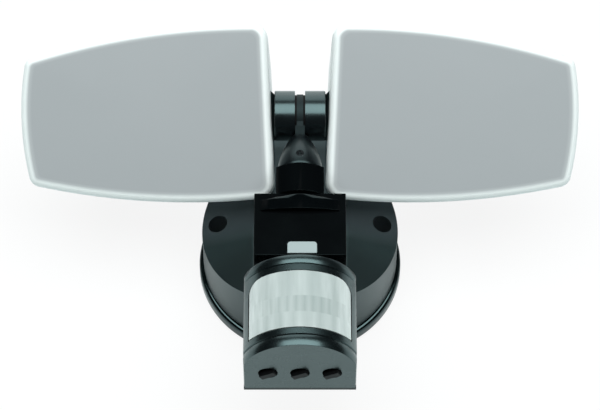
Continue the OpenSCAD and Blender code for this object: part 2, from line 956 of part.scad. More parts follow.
// Plan of the neck from a back line to its rounded front
module neck_plan(hw, round_r, back) {
    intersection() {
        translate([0, neck_d - round_r])
            circle(r = round_r, $fn = 96);
        translate([-hw, back])
            square([2 * hw, neck_d - back]);
    }
}

// Half width and front radius of the flare at a share of its height
function flare_hw(t) = neck_hw + (foot_hw - neck_hw) * (1 - sqrt(1 - (1 - t) * (1 - t)));
function flare_round(t) = foot_round + (column_round - foot_round) * t;

module neck_screw_places() {
    for (s = [-1, 1])
        translate([s * (neck_hw - neck_screw_in), heel_l - neck_screw_in - swivel_d, arm_ceiling])
            children();
}

module neck() {
    color(BLACK)
        difference() {
            union() {
                plan_prism(foot_bottom, foot_top)
                    neck_plan(foot_hw, foot_round, arm_d);
                for (i = [0 : flare_steps - 1])
                    hull()
                        for (t = [i / flare_steps, (i + 1) / flare_steps]) {
                            z = foot_top + flare_h * t;
                            plan_prism(z - slice_t, z)
                                neck_plan(flare_hw(t), flare_round(t), arm_d);
                        }
                plan_prism(arm_top, neck_top) {
                    neck_plan(neck_hw, column_round, swivel_d);
                    translate([0, swivel_d])
                        circle(r = neck_hw);
                }
                plan_prism(arm_top, arm_top + heel_h)
                    translate([-neck_hw, swivel_d - heel_l])
                        square([2 * neck_hw, heel_l]);
            }
            translate([0, -swivel_d, arm_top - cut])
                cylinder(r = shank_r + run_gap, h = neck_top - arm_top + 2 * cut);
            neck_screw_places()
                cylinder(r = screw_r, h = arm_screw_l);
        }
}

module arm_screws() {
    color(STEEL) {
        neck_screw_places()
            screw(screw_r, arm_screw_l - tip_gap, screw_head_r, screw_head_t);
        wall_frame()
            arm_screw_places()
                screw(screw_r, arm_screw_l - tip_gap, screw_head_r, screw_head_t);
    }
}

module sensor_pin() {
    color(STEEL)
        translate([0, -pan_d, tilt_z])
            x_bar(pin_r, -drum_hw - free_gap - ear_t, drum_hw + free_gap + ear_t);
}

module swivel_washer() {
    color(RUBBER)
        translate([0, -swivel_d, neck_top])
            difference() {
                cylinder(r = bell_r - washer_step, h = washer_t);
                translate([0, 0, -cut])
                    cylinder(r = shank_r + run_gap, h = washer_t + 2 * cut);
            }
}

// Half profile of the bell, from its lower edge up to its flat top
function bell_profile() = concat(
    [[0, bell_bottom]],
    [for (i = [0 : bell_steps])
        let (h = bell_h * i / bell_steps)
        [bell_radius(h), bell_bottom + h]],
    [[0, bell_top]]
);

// Radius of the bell at a height above its lower edge
function bell_radius(h) = bell_r - (bell_r - bell_top_r) * pow(h / bell_h, bell_curve);

// Places a child on one side of the pivot axis, x outward along it
module on_pivot(side) {
    translate([0, -swivel_d, hinge_z])
        mirror([side < 0 ? 1 : 0, 0, 0])
            children();
}

// Places a child in one head's frame: x along the head, y back from the pivot, z up the face
module in_head(side) {
    translate([0, -swivel_d, hinge_z])
        mirror([side < 0 ? 1 : 0, 0, 0])
            rotate([head_pitch, 0, head_toe])
                children();
}

// Turns a child in a head's frame back along the pivot axis
module along_pivot() {
    rotate([-head_pitch, 0, 0])
        rotate([0, 0, -head_toe])
            children();
}

module swivel_post() {
    color(GRAPHITE)
        difference() {
            union() {
                translate([0, -swivel_d, 0])
                    rotate_extrude()
                        polygon(bell_profile());
                translate([0, -swivel_d, shank_bottom])
                    cylinder(r = shank_r, h = bell_bottom - shank_bottom + eps);
                translate([-stem_w / 2, -swivel_d - stem_l / 2, stem_start])
                    cube([stem_w, stem_l, hinge_z - stem_start]);
                translate([0, -swivel_d, hinge_z])
                    x_bar(lug_r, -lug_hw, lug_hw);
                for (side = [LEFT, RIGHT])
                    on_pivot(side)
                        x_bar(spigot_r, spigot_root, spigot_end);
            }
            translate([0, -swivel_d, shank_bottom - cut])
                cylinder(r = shank_bore_r, h = bell_bottom - shank_bottom);
            translate([0, -swivel_d, bell_bottom - 2 * cut])
                cylinder(r = channel_r, h = hinge_z - bell_bottom);
            for (side = [LEFT, RIGHT])
                on_pivot(side)
                    x_bar(spigot_bore_r, spigot_bore_root, spigot_end + cut);
            bell_screw_place()
                screw(bell_screw_shank_r, bell_screw_l, bell_screw_r + sink_gap, bell_screw_t + cut);
        }
}

// The bell's screw looks forward, its head partly sunk in the bell
module bell_screw_place() {
    translate([0, bell_screw_sink - swivel_d - bell_radius(bell_screw_z), bell_bottom + bell_screw_z])
        rotate([-90, 0, 0])
            children();
}

module bell_screw() {
    color(STEEL)
        bell_screw_place()
            difference() {
                screw(bell_screw_shank_r, bell_screw_l, bell_screw_r, bell_screw_t);
                for (a = [0, 90])
                    rotate([0, 0, a])
                        translate([-bell_slot_l / 2, -bell_slot_w / 2, -bell_screw_t - cut])
                            cube([bell_slot_l, bell_slot_w, bell_slot_d + cut]);
            }
}

module swivel_nut() {
    color(STEEL)
        translate([0, -swivel_d, shank_bottom])
            difference() {
                cylinder(r = nut_r, h = nut_t);
                translate([0, 0, -cut])
                    cylinder(r = shank_r, h = nut_t + 2 * cut);
                translate([-nut_notch / 2, -nut_r - cut, -cut])
                    cube([nut_notch, 2 * (nut_r + cut), cut + nut_t / 2]);
            }
}

module pivot_washer(side) {
    color(RUBBER)
        on_pivot(side)
            difference() {
                x_bar(pivot_washer_r, lug_hw, lug_hw + pivot_washer_t);
                x_bar(spigot_r, 0, barrel_end);
            }
}

module pivot_nut(side) {
    color(STEEL)
        on_pivot(side)
            difference() {
                translate([pivot_nut_start, 0, 0])
                    rotate([0, 90, 0])
                        cylinder(r = pivot_nut_r, h = pivot_nut_t, $fn = 6);
                x_bar(spigot_r, 0, barrel_end);
            }
}

// The two screws that hold a barrel on the housing, in the head's frame
module knuckle_screw_places(x) {
    y = knuckle_screw_rad * sin(knuckle_screw_angle);
    z = knuckle_screw_rad * cos(knuckle_screw_angle);
    for (s = [-1, 1])
        translate([x, y + pivot_shift[0], s * z + pivot_shift[1]])
            children();
}

module knuckle(side) {
    color(GRAPHITE)
        difference() {
            on_pivot(side)
                x_bar(barrel_r, barrel_start, barrel_end);
            on_pivot(side)
                x_bar(spigot_r + run_gap, 0, barrel_end + cut);
            on_pivot(side)
                x_bar(nut_pocket_r, bearing_end, barrel_end + cut);
            in_head(side)
                knuckle_screw_places(barrel_end)
                    x_bar(knuckle_screw_r, -knuckle_screw_bite, toe_room);
        }
}

module knuckle_screws(side) {
    color(STEEL)
        in_head(side)
            knuckle_screw_places(inner_face)
                rotate([0, -90, 0])
                    screw(knuckle_screw_r, knuckle_screw_l - tip_gap, knuckle_head_r, small_head_t);
}

// Half height of a head at a place along it, and the slope there
function edge_height(a) = head_hh - (a - crest_a) * (a - crest_a) / (2 * edge_round);
function edge_slope(a) = -(a - crest_a) / edge_round;
function end_reach(b) = head_out - b * b / (2 * end_round);

// Centre of the outer corner's arc, found by stepping towards both edges
function corner_place(a, n) =
    let (
        b = edge_height(a) - corner_out * sqrt(1 + edge_slope(a) * edge_slope(a)),
        next = end_reach(b) - corner_out * sqrt(1 + b * b / (end_round * end_round))
    )
    n == 0 ? [a, b] : corner_place(next, n - 1);

// A head's outline from the inner edge round to the outer edge, upper half, drawn in by t
function upper_outline(t) =
    let (
        ci = [head_in + corner_in, edge_height(head_in + corner_in) - corner_in],
        co = corner_place(head_out - corner_out, 6),
        from_a = atan(edge_slope(ci.x)) + 90,
        to_a = atan(edge_slope(co.x)) + 90,
        end_a = atan(co.y / end_round),
        steps = 6
    )
    concat(
        [for (i = [0 : steps]) let (g = 180 + (from_a - 180) * i / steps)
            ci + (corner_in - t) * [cos(g), sin(g)]],
        [for (i = [1 : 8]) let (
                a = ci.x + (co.x - ci.x) * i / 9,
                g = atan(edge_slope(a)) + 90
            )
            [a, edge_height(a)] - t * [cos(g), sin(g)]],
        [for (i = [0 : steps]) let (g = to_a + (end_a - to_a) * i / steps)
            co + (corner_out - t) * [cos(g), sin(g)]],
        [for (i = [2 : -1 : 1]) let (b = co.y * i / 3)
            [end_reach(b) - t, b]]
    );

module head_outline(t) {
    half = upper_outline(t);
    n = len(half);
    polygon(concat(
        half,
        [[head_out - t, 0]],
        [for (i = [n - 1 : -1 : 0]) [half[i].x, -half[i].y]]
    ));
}

// A slab of a head between two depths behind its face
module head_slab(d0, d1) {
    translate([0, d1 - face_d, head_rise])
        rotate([90, 0, 0])
            linear_extrude(height = d1 - d0)
                children();
}

// A round bar between two depths behind the face, at one place of the head
module head_bar(place, r, d0, d1) {
    head_slab(d0, d1)
        translate(place)
            circle(r = r);
}

module diffuser_form(inset) {
    hull() {
        head_slab(diffuser_round, diffuser_t + (inset > 0 ? cut : 0))
            head_outline(inset);
        for (g = [30, 60, 90])
            head_slab(
                diffuser_round - (diffuser_round - inset) * sin(g),
                diffuser_round - (diffuser_round - inset) * sin(g) + slice_t
            )
                head_outline(diffuser_round - (diffuser_round - inset) * cos(g));
    }
}

module diffuser(side) {
    color(OPAL)
        in_head(side)
            difference() {
                union() {
                    difference() {
                        diffuser_form(0);
                        diffuser_form(diffuser_wall);
                    }
                    for (p = case_places)
                        head_bar(p, case_boss_r, diffuser_wall - eps, diffuser_t);
                }
                for (p = case_places)
                    head_bar(p, small_screw_r, diffuser_t - case_screw_bite, diffuser_t + cut);
            }
}

module head_seal(side) {
    color(RUBBER)
        in_head(side)
            head_slab(diffuser_t, housing_front)
                difference() {
                    head_outline(seal_inset);
                    head_outline(seal_inset + head_seal_w);
                }
}

// The housing's body: a straight band, then a slope to its smaller back
module housing_form(inset, front) {
    hull() {
        head_slab(front, band_end)
            head_outline(housing_step + inset);
        head_slab(housing_d - inset - slice_t, housing_d - inset)
            for (s = [-1, 1]) {
                translate([housing_in + inset, s > 0 ? 0 : inset - back_hh_in])
                    square([1, back_hh_in - inset]);
                translate([back_out - back_round, s * (back_hh_out - back_round)])
                    circle(r = back_round - inset, $fn = 32);
            }
    }
}

module housing(side) {
    color(BLACK)
        in_head(side)
            difference() {
                union() {
                    difference() {
                        housing_form(0, housing_front);
                        housing_form(housing_wall, housing_front - cut);
                    }
                    intersection() {
                        housing_form(0, housing_front);
                        union() {
                            for (p = board_places)
                                head_bar(p, board_boss_r, led_board_back, housing_d);
                            for (p = case_places)
                                head_bar(p, case_tube_r, housing_front, housing_d);
                        }
                    }
                    housing_pad();
                    housing_fins();
                }
                for (p = board_places)
                    head_bar(p, small_screw_r, led_board_d, led_board_back + board_screw_l);
                for (p = case_places) {
                    head_bar(p, small_screw_r + shank_gap, 0, housing_d);
                    head_bar(p, small_head_r + sink_gap, case_screw_seat, housing_d + fin_h);
                }
                along_pivot()
                    x_bar(spigot_bore_r, barrel_end - cut, inner_face + toe_room);
                knuckle_screw_places(barrel_end)
                    x_bar(knuckle_screw_r + shank_gap, -toe_room, inner_face - barrel_end + cut);
            }
}

// The pad on the housing's inner wall that the barrel is screwed to
module housing_pad() {
    reach = barrel_r + toe_room;
    intersection() {
        along_pivot()
            x_bar(barrel_r, barrel_end, inner_face + toe_room);
        translate([0, pad_front - face_d, -reach])
            cube([housing_in + eps, housing_d - housing_front, 2 * reach]);
    }
}

// Upright cooling fins across the housing's back
module housing_fins() {
    taper = (back_hh_out - back_hh_in) / (back_out - housing_in);
    for (i = [0 : fin_count - 1]) {
        a = fin_first + (fin_last - fin_first) * i / (fin_count - 1);
        hh = back_hh_in + taper * (a - housing_in) - fin_margin;
        head_slab(housing_d - fin_root, housing_d + fin_h)
            translate([a - fin_t / 2, -hh])
                square([fin_t, 2 * hh]);
    }
}

module led_board(side) {
    near = head_in + led_board_in;
    far = near + led_board_l;
    color(ALUMINIUM)
        in_head(side)
            difference() {
                head_slab(led_board_d, led_board_back)
                    polygon([
                        [near, -led_board_hh_in], [far, -led_board_hh_out],
                        [far, led_board_hh_out], [near, led_board_hh_in]
                    ]);
                for (p = board_places)
                    head_bar(p, small_screw_r + shank_gap, 0, housing_d);
            }
}

module leds(side) {
    near = head_in + led_board_in + led_margin;
    far = head_in + led_board_in + led_board_l - led_margin;
    reach = led_board_hh_out - board_screw_in;
    color(OPAL)
        in_head(side)
            head_slab(led_board_d - led_h, led_board_d)
                for (i = [0 : led_columns - 1], j = [0 : led_rows - 1])
                    translate([
                        near + (far - near) * i / (led_columns - 1) - led_w / 2,
                        -reach + 2 * reach * j / (led_rows - 1) - led_w / 2
                    ])
                        square(led_w);
}

module board_screws(side) {
    color(STEEL)
        in_head(side)
            for (p = board_places) {
                head_bar(p, small_head_r, led_board_d - small_head_t, led_board_d);
                head_bar(p, small_screw_r, led_board_d - eps, led_board_back + board_screw_l - tip_gap);
            }
}

module case_screws(side) {
    color(STEEL)
        in_head(side)
            for (p = case_places) {
                head_bar(p, small_head_r, case_screw_seat, case_screw_seat + small_head_t);
                head_bar(p, small_screw_r, diffuser_t - case_screw_bite + tip_gap, case_screw_seat + eps);
            }
}

// Plan of the sensor: straight sides and a round front, drawn in by t
module sensor_plan(t, back) {
    intersection() {
        translate([0, sensor_d - sensor_round])
            circle(r = sensor_round - t, $fn = 128);
        translate([t - sensor_hw, back])
            square([2 * (sensor_hw - t), sensor_d - back]);
    }
    straight = sensor_d - sensor_round - back;
    if (straight > 0)
        translate([t - sensor_hw, back])
            square([2 * (sensor_hw - t), straight]);
}

module sensor_knuckle() {
    color(GRAPHITE)
        translate([0, -pan_d, 0])
            difference() {
                union() {
                    translate([0, 0, tilt_z])
                        x_bar(drum_r, -drum_hw, drum_hw);
                    translate([0, 0, stem_bottom])
                        cylinder(r = stem_r, h = tilt_z - stem_bottom);
                    translate([0, 0, sensor_top_z + face_gap])
                        cylinder(r = collar_r, h = collar_t);
                }
                translate([0, 0, tilt_z])
                    x_bar(pin_r + run_gap, -drum_hw - cut, drum_hw + cut);
            }
}

module sensor_clip() {
    color(STEEL)
        translate([0, -pan_d, clip_top - clip_t])
            difference() {
                cylinder(r = clip_r, h = clip_t);
                translate([0, 0, -cut])
                    cylinder(r = stem_r, h = clip_t + 2 * cut);
            }
}

module sensor_top() {
    color(BLACK)
        difference() {
            plan_prism(case_top, sensor_top_z)
                sensor_plan(0, body_back_d);
            translate([0, -pan_d, case_top - cut])
                cylinder(r = stem_r + run_gap, h = top_cap_t + 2 * cut);
        }
}

// The lens window's outline, across and up, grown by g
module window_outline(g) {
    hw = lens_hw + g;
    top_r = lens_corner + g;
    foot_r = lens_foot_r + g;
    z0 = lens_bottom - g;
    z1 = lens_top + g;
    translate([-hw, z0 + foot_r])
        square([2 * hw, z1 - z0 - top_r - foot_r]);
    translate([foot_r - hw, z0])
        square([2 * (hw - foot_r), z1 - z0 - top_r]);
    translate([top_r - hw, z0 + foot_r])
        square([2 * (hw - top_r), z1 - z0 - foot_r]);
    for (sx = [-1, 1]) {
        translate([sx * (hw - foot_r), z0 + foot_r])
            circle(r = foot_r);
        translate([sx * (hw - top_r), z1 - top_r])
            circle(r = top_r);
    }
}

// The window's outline cut through the front half of the sensor
module window_prism(g) {
    translate([0, -window_back_d, 0])
        rotate([90, 0, 0])
            linear_extrude(height = sensor_round)
                window_outline(g);
}

module sensor_case() {
    color(BLACK)
        difference() {
            union() {
                difference() {
                    union() {
                        plan_prism(case_bottom, case_top - groove_h)
                            sensor_plan(0, body_back_d);
                        plan_prism(case_top - groove_h - eps, case_top)
                            sensor_plan(groove_d, body_back_d);
                    }
                    plan_prism(case_bottom - cut, case_top + cut)
                        sensor_plan(case_wall, body_back_d - cut);
                    window_prism(0);
                }
                for (sx = [-1, 1], z = sensor_post_zs)
                    translate([sx * sensor_post_x, -body_back_d, z])
                        rotate([90, 0, 0])
                            cylinder(r = sensor_post_r, h = sensor_post_l);
                for (sx = [-1, 1])
                    translate([
                        sx > 0 ? sensor_hw - case_wall - shelf_w : case_wall - sensor_hw - eps,
                        -control_back_d - shelf_l,
                        control_z - shelf_t
                    ])
                        cube([shelf_w + eps, shelf_l, shelf_t]);
            }
            for (sx = [-1, 1], z = sensor_post_zs)
                translate([sx * sensor_post_x, cut - body_back_d, z])
                    rotate([90, 0, 0])
                        cylinder(r = small_screw_r, h = sensor_screw_bite + cut);
        }
}

module sensor_lens() {
    seat = sensor_round - case_wall - lens_gap;
    color(OPAL)
        difference() {
            union() {
                intersection() {
                    lens_shell(sensor_round + lens_proud);
                    window_prism(-lens_gap);
                }
                intersection() {
                    lens_shell(seat);
                    window_prism(lens_flange);
                    flange_limit();
                }
            }
            lens_shell(seat - lens_t);
        }
}

// An upright drum on the axis of the sensor's round front
module lens_shell(r) {
    translate([0, sensor_round - sensor_d, lens_bottom - 2 * lens_flange])
        cylinder(r = r, h = lens_h + 4 * lens_flange, $fn = 128);
}

// Room for the lens's flange between the case's side walls
module flange_limit() {
    hw = sensor_hw - case_wall - lens_gap;
    translate([-hw, -sensor_d, lens_bottom - 2 * lens_flange])
        cube([2 * hw, sensor_l, lens_h + 4 * lens_flange]);
}

module dial_places() {
    for (i = [-1, 0, 1])
        translate([i * dial_pitch, -dial_d, 0])
            children();
}

module sensor_base() {
    color(BLACK)
        difference() {
            plan_prism(sensor_bottom, case_bottom)
                sensor_plan(0, body_back_d);
            dial_places()
                translate([0, 0, sensor_bottom - cut])
                    cylinder(r = dial_hole_r, h = bottom_cap_t + 2 * cut);
        }
}

module sensor_back() {
    color(BLACK)
        difference() {
            translate([-sensor_hw, -body_back_d, sensor_bottom])
                cube([2 * sensor_hw, back_cover_t, sensor_top_z - sensor_bottom]);
            for (sx = [-1, 1], z = sensor_post_zs)
                translate([sx * sensor_post_x, cut - sensor_back_d, z])
                    rotate([90, 0, 0]) {
                        cylinder(r = small_screw_r + shank_gap, h = back_cover_t + 2 * cut);
                        cylinder(r = small_head_r + sink_gap, h = cut + sensor_screw_sink);
                    }
        }
}

module sensor_screws() {
    color(STEEL)
        for (sx = [-1, 1], z = sensor_post_zs)
            translate([sx * sensor_post_x, -sensor_back_d - sensor_screw_sink, z])
                rotate([90, 0, 0])
                    screw(small_screw_r, sensor_screw_bite, small_head_r, small_head_t);
}

module control_board() {
    color(BOARD)
        translate([-control_hw, -control_back_d - control_l, control_z])
            cube([2 * control_hw, control_l, board_t]);
}

module trimmers() {
    bottom = control_z - trimmer_h;
    color(TRIMMER_BLUE)
        dial_places()
            difference() {
                translate([-trimmer_w / 2, -trimmer_w / 2, bottom])
                    cube([trimmer_w, trimmer_w, trimmer_h]);
                translate([0, 0, bottom - cut])
                    cylinder(r = dial_shaft_r + run_gap, h = dial_shaft_top + free_gap - bottom + cut);
            }
}

module detector_board() {
    color(BOARD)
        translate([-detector_hw, -detector_d - board_t, control_z + board_t])
            cube([2 * detector_hw, board_t, detector_h]);
}

// A place on the front of the detector board, from the middle of its lower edge
module on_detector(place) {
    translate([place.x, -detector_d - board_t, control_z + board_t + place.y])
        rotate([90, 0, 0])
            children();
}

module pyro_detector() {
    color(ALUMINIUM)
        on_detector([0, detector_h / 2]) {
            cylinder(r = pyro_r, h = pyro_h);
            cylinder(r = pyro_r + pyro_flange, h = pyro_flange_t);
        }
}

module light_cell() {
    color(CELL_RED)
        on_detector(cell_place)
            cylinder(r = cell_r, h = cell_r);
}

// A dial: a disc set back in the cap with a bar below it, a flange and a shaft inside
module dial(place) {
    color(GRAPHITE)
        translate([place * dial_pitch, -dial_d, 0]) {
            translate([0, 0, dial_bottom])
                cylinder(r = dial_r, h = dial_t + eps);
            rotate([0, 0, dial_turn])
                translate([-dial_bar_l / 2, -dial_bar_w / 2, dial_bar_bottom])
                    cube([dial_bar_l, dial_bar_w, dial_bottom - dial_bar_bottom + eps]);
            translate([0, 0, dial_bottom + dial_t])
                cylinder(r = dial_hole_r + dial_flange, h = dial_flange_t);
            translate([0, 0, dial_top - eps])
                cylinder(r = dial_shaft_r, h = dial_shaft_top - dial_top + eps);
        }
}

back_plate();
base_seal();
front_cover();
arm_cover();
label_plate();
cover_screws();
cable_grommet();
terminal_block();
terminal_screws();
supply_leads();
driver_board();
driver_transformer();
driver_capacitor();
driver_relay();
neck();
arm_screws();
sensor_pin();
swivel_washer();
swivel_post();
swivel_nut();
bell_screw();
pivot_washer(LEFT);  // left_pivot_washer
pivot_nut(LEFT);  // left_pivot_nut
knuckle(LEFT);  // left_knuckle
knuckle_screws(LEFT);  // left_knuckle_screws
housing(LEFT);  // left_housing
head_seal(LEFT);  // left_seal
diffuser(LEFT);  // left_diffuser
led_board(LEFT);  // left_led_board
leds(LEFT);  // left_leds
board_screws(LEFT);  // left_board_screws
case_screws(LEFT);  // left_case_screws
pivot_washer(RIGHT);  // right_pivot_washer
pivot_nut(RIGHT);  // right_pivot_nut
knuckle(RIGHT);  // right_knuckle
knuckle_screws(RIGHT);  // right_knuckle_screws
housing(RIGHT);  // right_housing
head_seal(RIGHT);  // right_seal
diffuser(RIGHT);  // right_diffuser
led_board(RIGHT);  // right_led_board
leds(RIGHT);  // right_leds
board_screws(RIGHT);  // right_board_screws
case_screws(RIGHT);  // right_case_screws
sensor_knuckle();
sensor_clip();
sensor_top();
sensor_case();
sensor_lens();
sensor_base();
sensor_back();
sensor_screws();
control_board();
trimmers();
detector_board();
pyro_detector();
light_cell();
dial(-1);  // range_dial
dial(0);  // time_dial
dial(1);  // light_dial
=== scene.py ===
"""Looks of the wall floodlight: two opal lamp heads, a round wall base with an arm and a motion sensor."""
import math

import bmesh
import bpy
from mathutils import Matrix, Vector


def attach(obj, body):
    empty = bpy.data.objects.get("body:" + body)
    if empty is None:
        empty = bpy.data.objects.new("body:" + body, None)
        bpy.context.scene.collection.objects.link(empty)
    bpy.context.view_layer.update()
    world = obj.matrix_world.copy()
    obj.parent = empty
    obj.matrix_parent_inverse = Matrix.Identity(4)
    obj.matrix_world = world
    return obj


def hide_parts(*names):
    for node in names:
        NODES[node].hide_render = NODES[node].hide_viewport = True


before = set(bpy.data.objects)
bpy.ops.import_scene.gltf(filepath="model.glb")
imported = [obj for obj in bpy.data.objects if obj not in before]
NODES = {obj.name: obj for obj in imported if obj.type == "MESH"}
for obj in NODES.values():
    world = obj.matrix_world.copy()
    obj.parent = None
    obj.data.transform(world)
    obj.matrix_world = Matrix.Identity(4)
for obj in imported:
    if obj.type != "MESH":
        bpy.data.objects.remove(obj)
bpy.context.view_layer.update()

MM = 0.001
SIDES = ((-1, "left"), (1, "right"))

# Sizes are in millimetres and angles in degrees. A distance d from the wall is at y = -d.

# Wall plate and its holes
PLATE_R = 58.0
PLATE_T = 8.0
PLATE_FLOOR = 3.0
PLATE_RIM = 7.5
PLATE_ROUND = 2.4
PLATE_CHAMFER = 1.0
PLATE_CHAMFER_MID = 0.3
HOLE_X = 46.5
HOLE_Z = 2.5
HOLE_R = 2.75
CABLE_Z = 10.0
GROMMET_R = 7.5
COVER_SCREW_X = 29.0
COVER_SCREW_Z = 34.0
COVER_SCREW_R = 1.5
COUNTERBORE_R = 2.9
COUNTERBORE_D = 1.9

# Drum with two wings and two screw recesses
COVER_R = 55.5
COVER_BACK = 9.2
COVER_D = 52.0
COVER_WALL = 2.6
WING_D = 39.5
WING_CREASE = 14.0
RECESS_R = 5.4
RECESS_WALL = 2.2
RECESS_BACK = 12.0
SEAT_D = 14.0
SEAT_POST_R = 4.4
SEAT_POST_D = 20.0
SEAT_GAP = 0.4
GATE_HW = 15.9
GATE_L = 6.0

# Arm
ARM_HW = 25.0
ARM_D = 98.5
ARM_TOP = -12.0
ARM_BOTTOM = -51.0
ARM_EDGE_R = 0.6
ARM_EDGE_LEAST = 0.2
ARM_INTO_DRUM = 6.0
BORE_INTO_DRUM = 12.0
SLOT_HW = 10.4
SLOT_HL = 9.4

# Neck
NECK_HW = 13.2
NECK_D = 102.2
NECK_TOP = 5.7
COLUMN_R = 20.0
FOOT_HW = 21.4
FOOT_R = 90.0
FOOT_BOTTOM = -23.4
FOOT_TOP = -17.0
FOOT_SINK = 3.5
FLARE_TOP = -14.5
FLARE_STEPS = 12
HEEL_L = 26.0
HEEL_H = 6.0

# Swivel post
SWIVEL_D = 88.0
SHANK_R = 5.5
SHANK_BOTTOM = -18.25
SHANK_INTO_BELL = 0.5
SHANK_CLEARANCE = 0.4
BELL_R = 12.6
BELL_BOTTOM = 6.85
BELL_H = 24.6
BELL_CURVE = 2.0
BELL_TOP_R = 4.4
BELL_EDGE = 0.9
BELL_EDGE_H = 0.25
BELL_STEPS = 20
BELL_SCREW_Z = 13.45
BELL_SCREW_R = 2.2
BELL_SCREW_SINK = 1.0
HINGE_Z = 46.1
LUG_R = 12.0
LUG_HW = 1.85
STEM_HW = 2.65
STEM_HL = 8.0
SPIGOT_R = 6.0
SPIGOT_START = 1.2
SPIGOT_END = 12.35
TURNING_FIT = 0.05
SPIGOT_BORE = SPIGOT_R + TURNING_FIT

# Height, half width and half length of the stem's rings, from inside the bell up into the lug
STEM_RINGS = (
    (20.0, 3.0, 4.4),
    (29.5, 2.5, 4.8),
    (31.2, STEM_HW, 6.0),
    (34.2, STEM_HW, STEM_HL),
    (34.4, LUG_HW, STEM_HL),
    (HINGE_Z, LUG_HW, STEM_HL),
)

# Head barrels and friction washers
BARREL_R = 14.0
BARREL_START = 2.8
BARREL_END = 14.2
BARREL_IN_EDGE = 0.25
BARREL_IN_MID = 0.07
BARREL_OUT_EDGE = 0.5
BARREL_OUT_MID = 0.15
BEARING_END = 9.8
NUT_POCKET_R = 9.4
WASHER_INSET = 0.4
WASHER_GAP = 0.01
WASHER_EDGE = 0.15

# Lamp heads: a runs along a head from the pivot, b up it, and a depth goes back from its face
HEAD_TOE = 5.0
HEAD_PITCH = 32.0
HEAD_IN = 15.5
HEAD_OUT = 156.0
HEAD_HH = 49.6
HEAD_RISE = 3.5
FACE_AHEAD = 14.0
CREST_A = 45.0
EDGE_ROUND = 403.0
END_ROUND = 160.0
CORNER_IN = 9.0
CORNER_OUT = 7.0
SIDE_STEPS = 12
CORNER_STEPS = 12
EDGE_STEPS = 40
END_STEPS = 10

# Opal diffusers
DIFFUSER_T = 8.8
DIFFUSER_WALL = 2.0
DIFFUSER_ROUND = 4.5
DIFFUSER_CROWN = 0.5
FACE_MIDDLE = 0.04
FACE_SHARES = (FACE_MIDDLE, 0.2, 0.4, 0.6, 0.75, 0.86, 0.93, 0.97)
# How pale the rim is painted, as painted glow of light that the diffuser's wall scatters: a start and a step
# per ring
RIM_PAINTED_GLOW = 0.15
RIM_PAINTED_GLOW_STEP = 0.45

# Depth and inset of the diffuser's rings, down its wall and back up inside
SKIRT_RINGS = (
    (7.0, 0.0),
    (8.4, 0.0),
    (DIFFUSER_T, 0.4),
    (DIFFUSER_T, DIFFUSER_WALL),
    (4.6, DIFFUSER_WALL),
    (2.9, 2.7),
    (DIFFUSER_WALL, DIFFUSER_ROUND),
)

# Head housings
HOUSING_FRONT = 9.6
HOUSING_STEP = 0.5
HOUSING_WALL = 2.4
HOUSING_EDGE = 0.5
HOUSING_END = 26.5
BAND_END = 14.2
BAND_EASE = 1.2
SLOPE_SHARES = (0.02, 0.07, 0.2, 0.4, 0.6, 0.8, 0.92, 0.98)
SLOPE_END = 0.05
SLOPE_EASE = 0.25
BACK_IN = 16.0
BACK_OUT = 117.5
BACK_HH_IN = 26.0
BACK_HH_OUT = 17.0
BACK_R = 8.0
BACK_R_IN = 3.0
BACK_EDGE = 1.4
CASE_POST_R = 4.2
WELL_R = 2.3
WELL_FLOOR = 13.2
CASE_SCREW_IN = 5.0
CASE_SCREW_OUT = 8.0
CASE_SCREW_DROP_IN = 13.0
CASE_SCREW_DROP_OUT = 9.5
FIN_COUNT = 7
FIN_T = 1.8
FIN_H = 3.0
FIN_END = 0.6
FIN_MARGIN = 3.0
FIN_FIRST = 18.0
FIN_LAST = 14.0
PAD_CONE = 2.0
PAD_SINK = 1.8
PAD_FACE_GAP = 0.3
PAD_LOW = 0.35
PAD_LOW_SPAN = 0.3

# Height above the back, share of the thickness and shortening of a fin's rings
FIN_RINGS = (
    (-2.0, 1.15, 0.0),
    (0.0, 1.1, 0.0),
    (1.6, 0.95, 0.8),
    (FIN_H - 0.4, 0.85, 2.2),
    (FIN_H, 0.6, 3.0),
)

# Motion sensor
SENSOR_HW = 30.0
SENSOR_D = 118.0
SENSOR_R = 31.5
SENSOR_TOP = -62.0
SENSOR_BOTTOM = -116.8
SENSOR_STEPS = 48
BODY_BACK = 70.0
CASE_TOP = -67.4
CASE_BOTTOM = -110.4
CASE_WALL = 2.2
CASE_EDGE = 0.45
GROOVE_H = 0.8
GROOVE_DEPTH = 0.9
SWELL = 0.5
SWELL_STEPS = 12
PAN_D = 85.0
PAN_HOLE_R = 6.05
DIAL_PITCH = 17.0
DIAL_D = 86.5
DIAL_HOLE_R = 5.2

# Sensor lens and its lenslets, in three tiers from below
LENS_HW = 27.4
LENS_TOP = -71.7
LENS_BOTTOM = -106.7
LENS_CORNER = 7.2
LENS_GAP = 0.5
LENS_PROUD = 0.05
LENS_BEHIND = 1.2
LENS_ROWS = 64
LENS_STEPS = 220
LENS_COLUMNS = (9, 14, 5)
LENS_TIERS = (0.0, 0.28, 0.56, 1.0)
RIB_H = 0.10
TIER_H = 0.06
WINDOW_BACK = 95.0
WINDOW_FRONT = 130.0
WINDOW_STEPS = 10

# How light a lenslet is: a base, a change from one to the next, lighter middles, and painted light that
# makes the lens lighter towards its ends
SHADE_BASE = 0.16
SHADE_CHANGE = 0.09
SHADE_STRIDE = 12.9898
SHADE_MIDDLE = 0.08
PAINTED_END_LIGHT = 0.75
PAINTED_END_LIGHT_POWER = 2.5

# Fineness of round shapes
ARC_STEPS = 8
RING_STEPS = 24
LATHE_SEGMENTS = 96
PLATE_SEGMENTS = 192
DRUM_SEGMENTS = 160

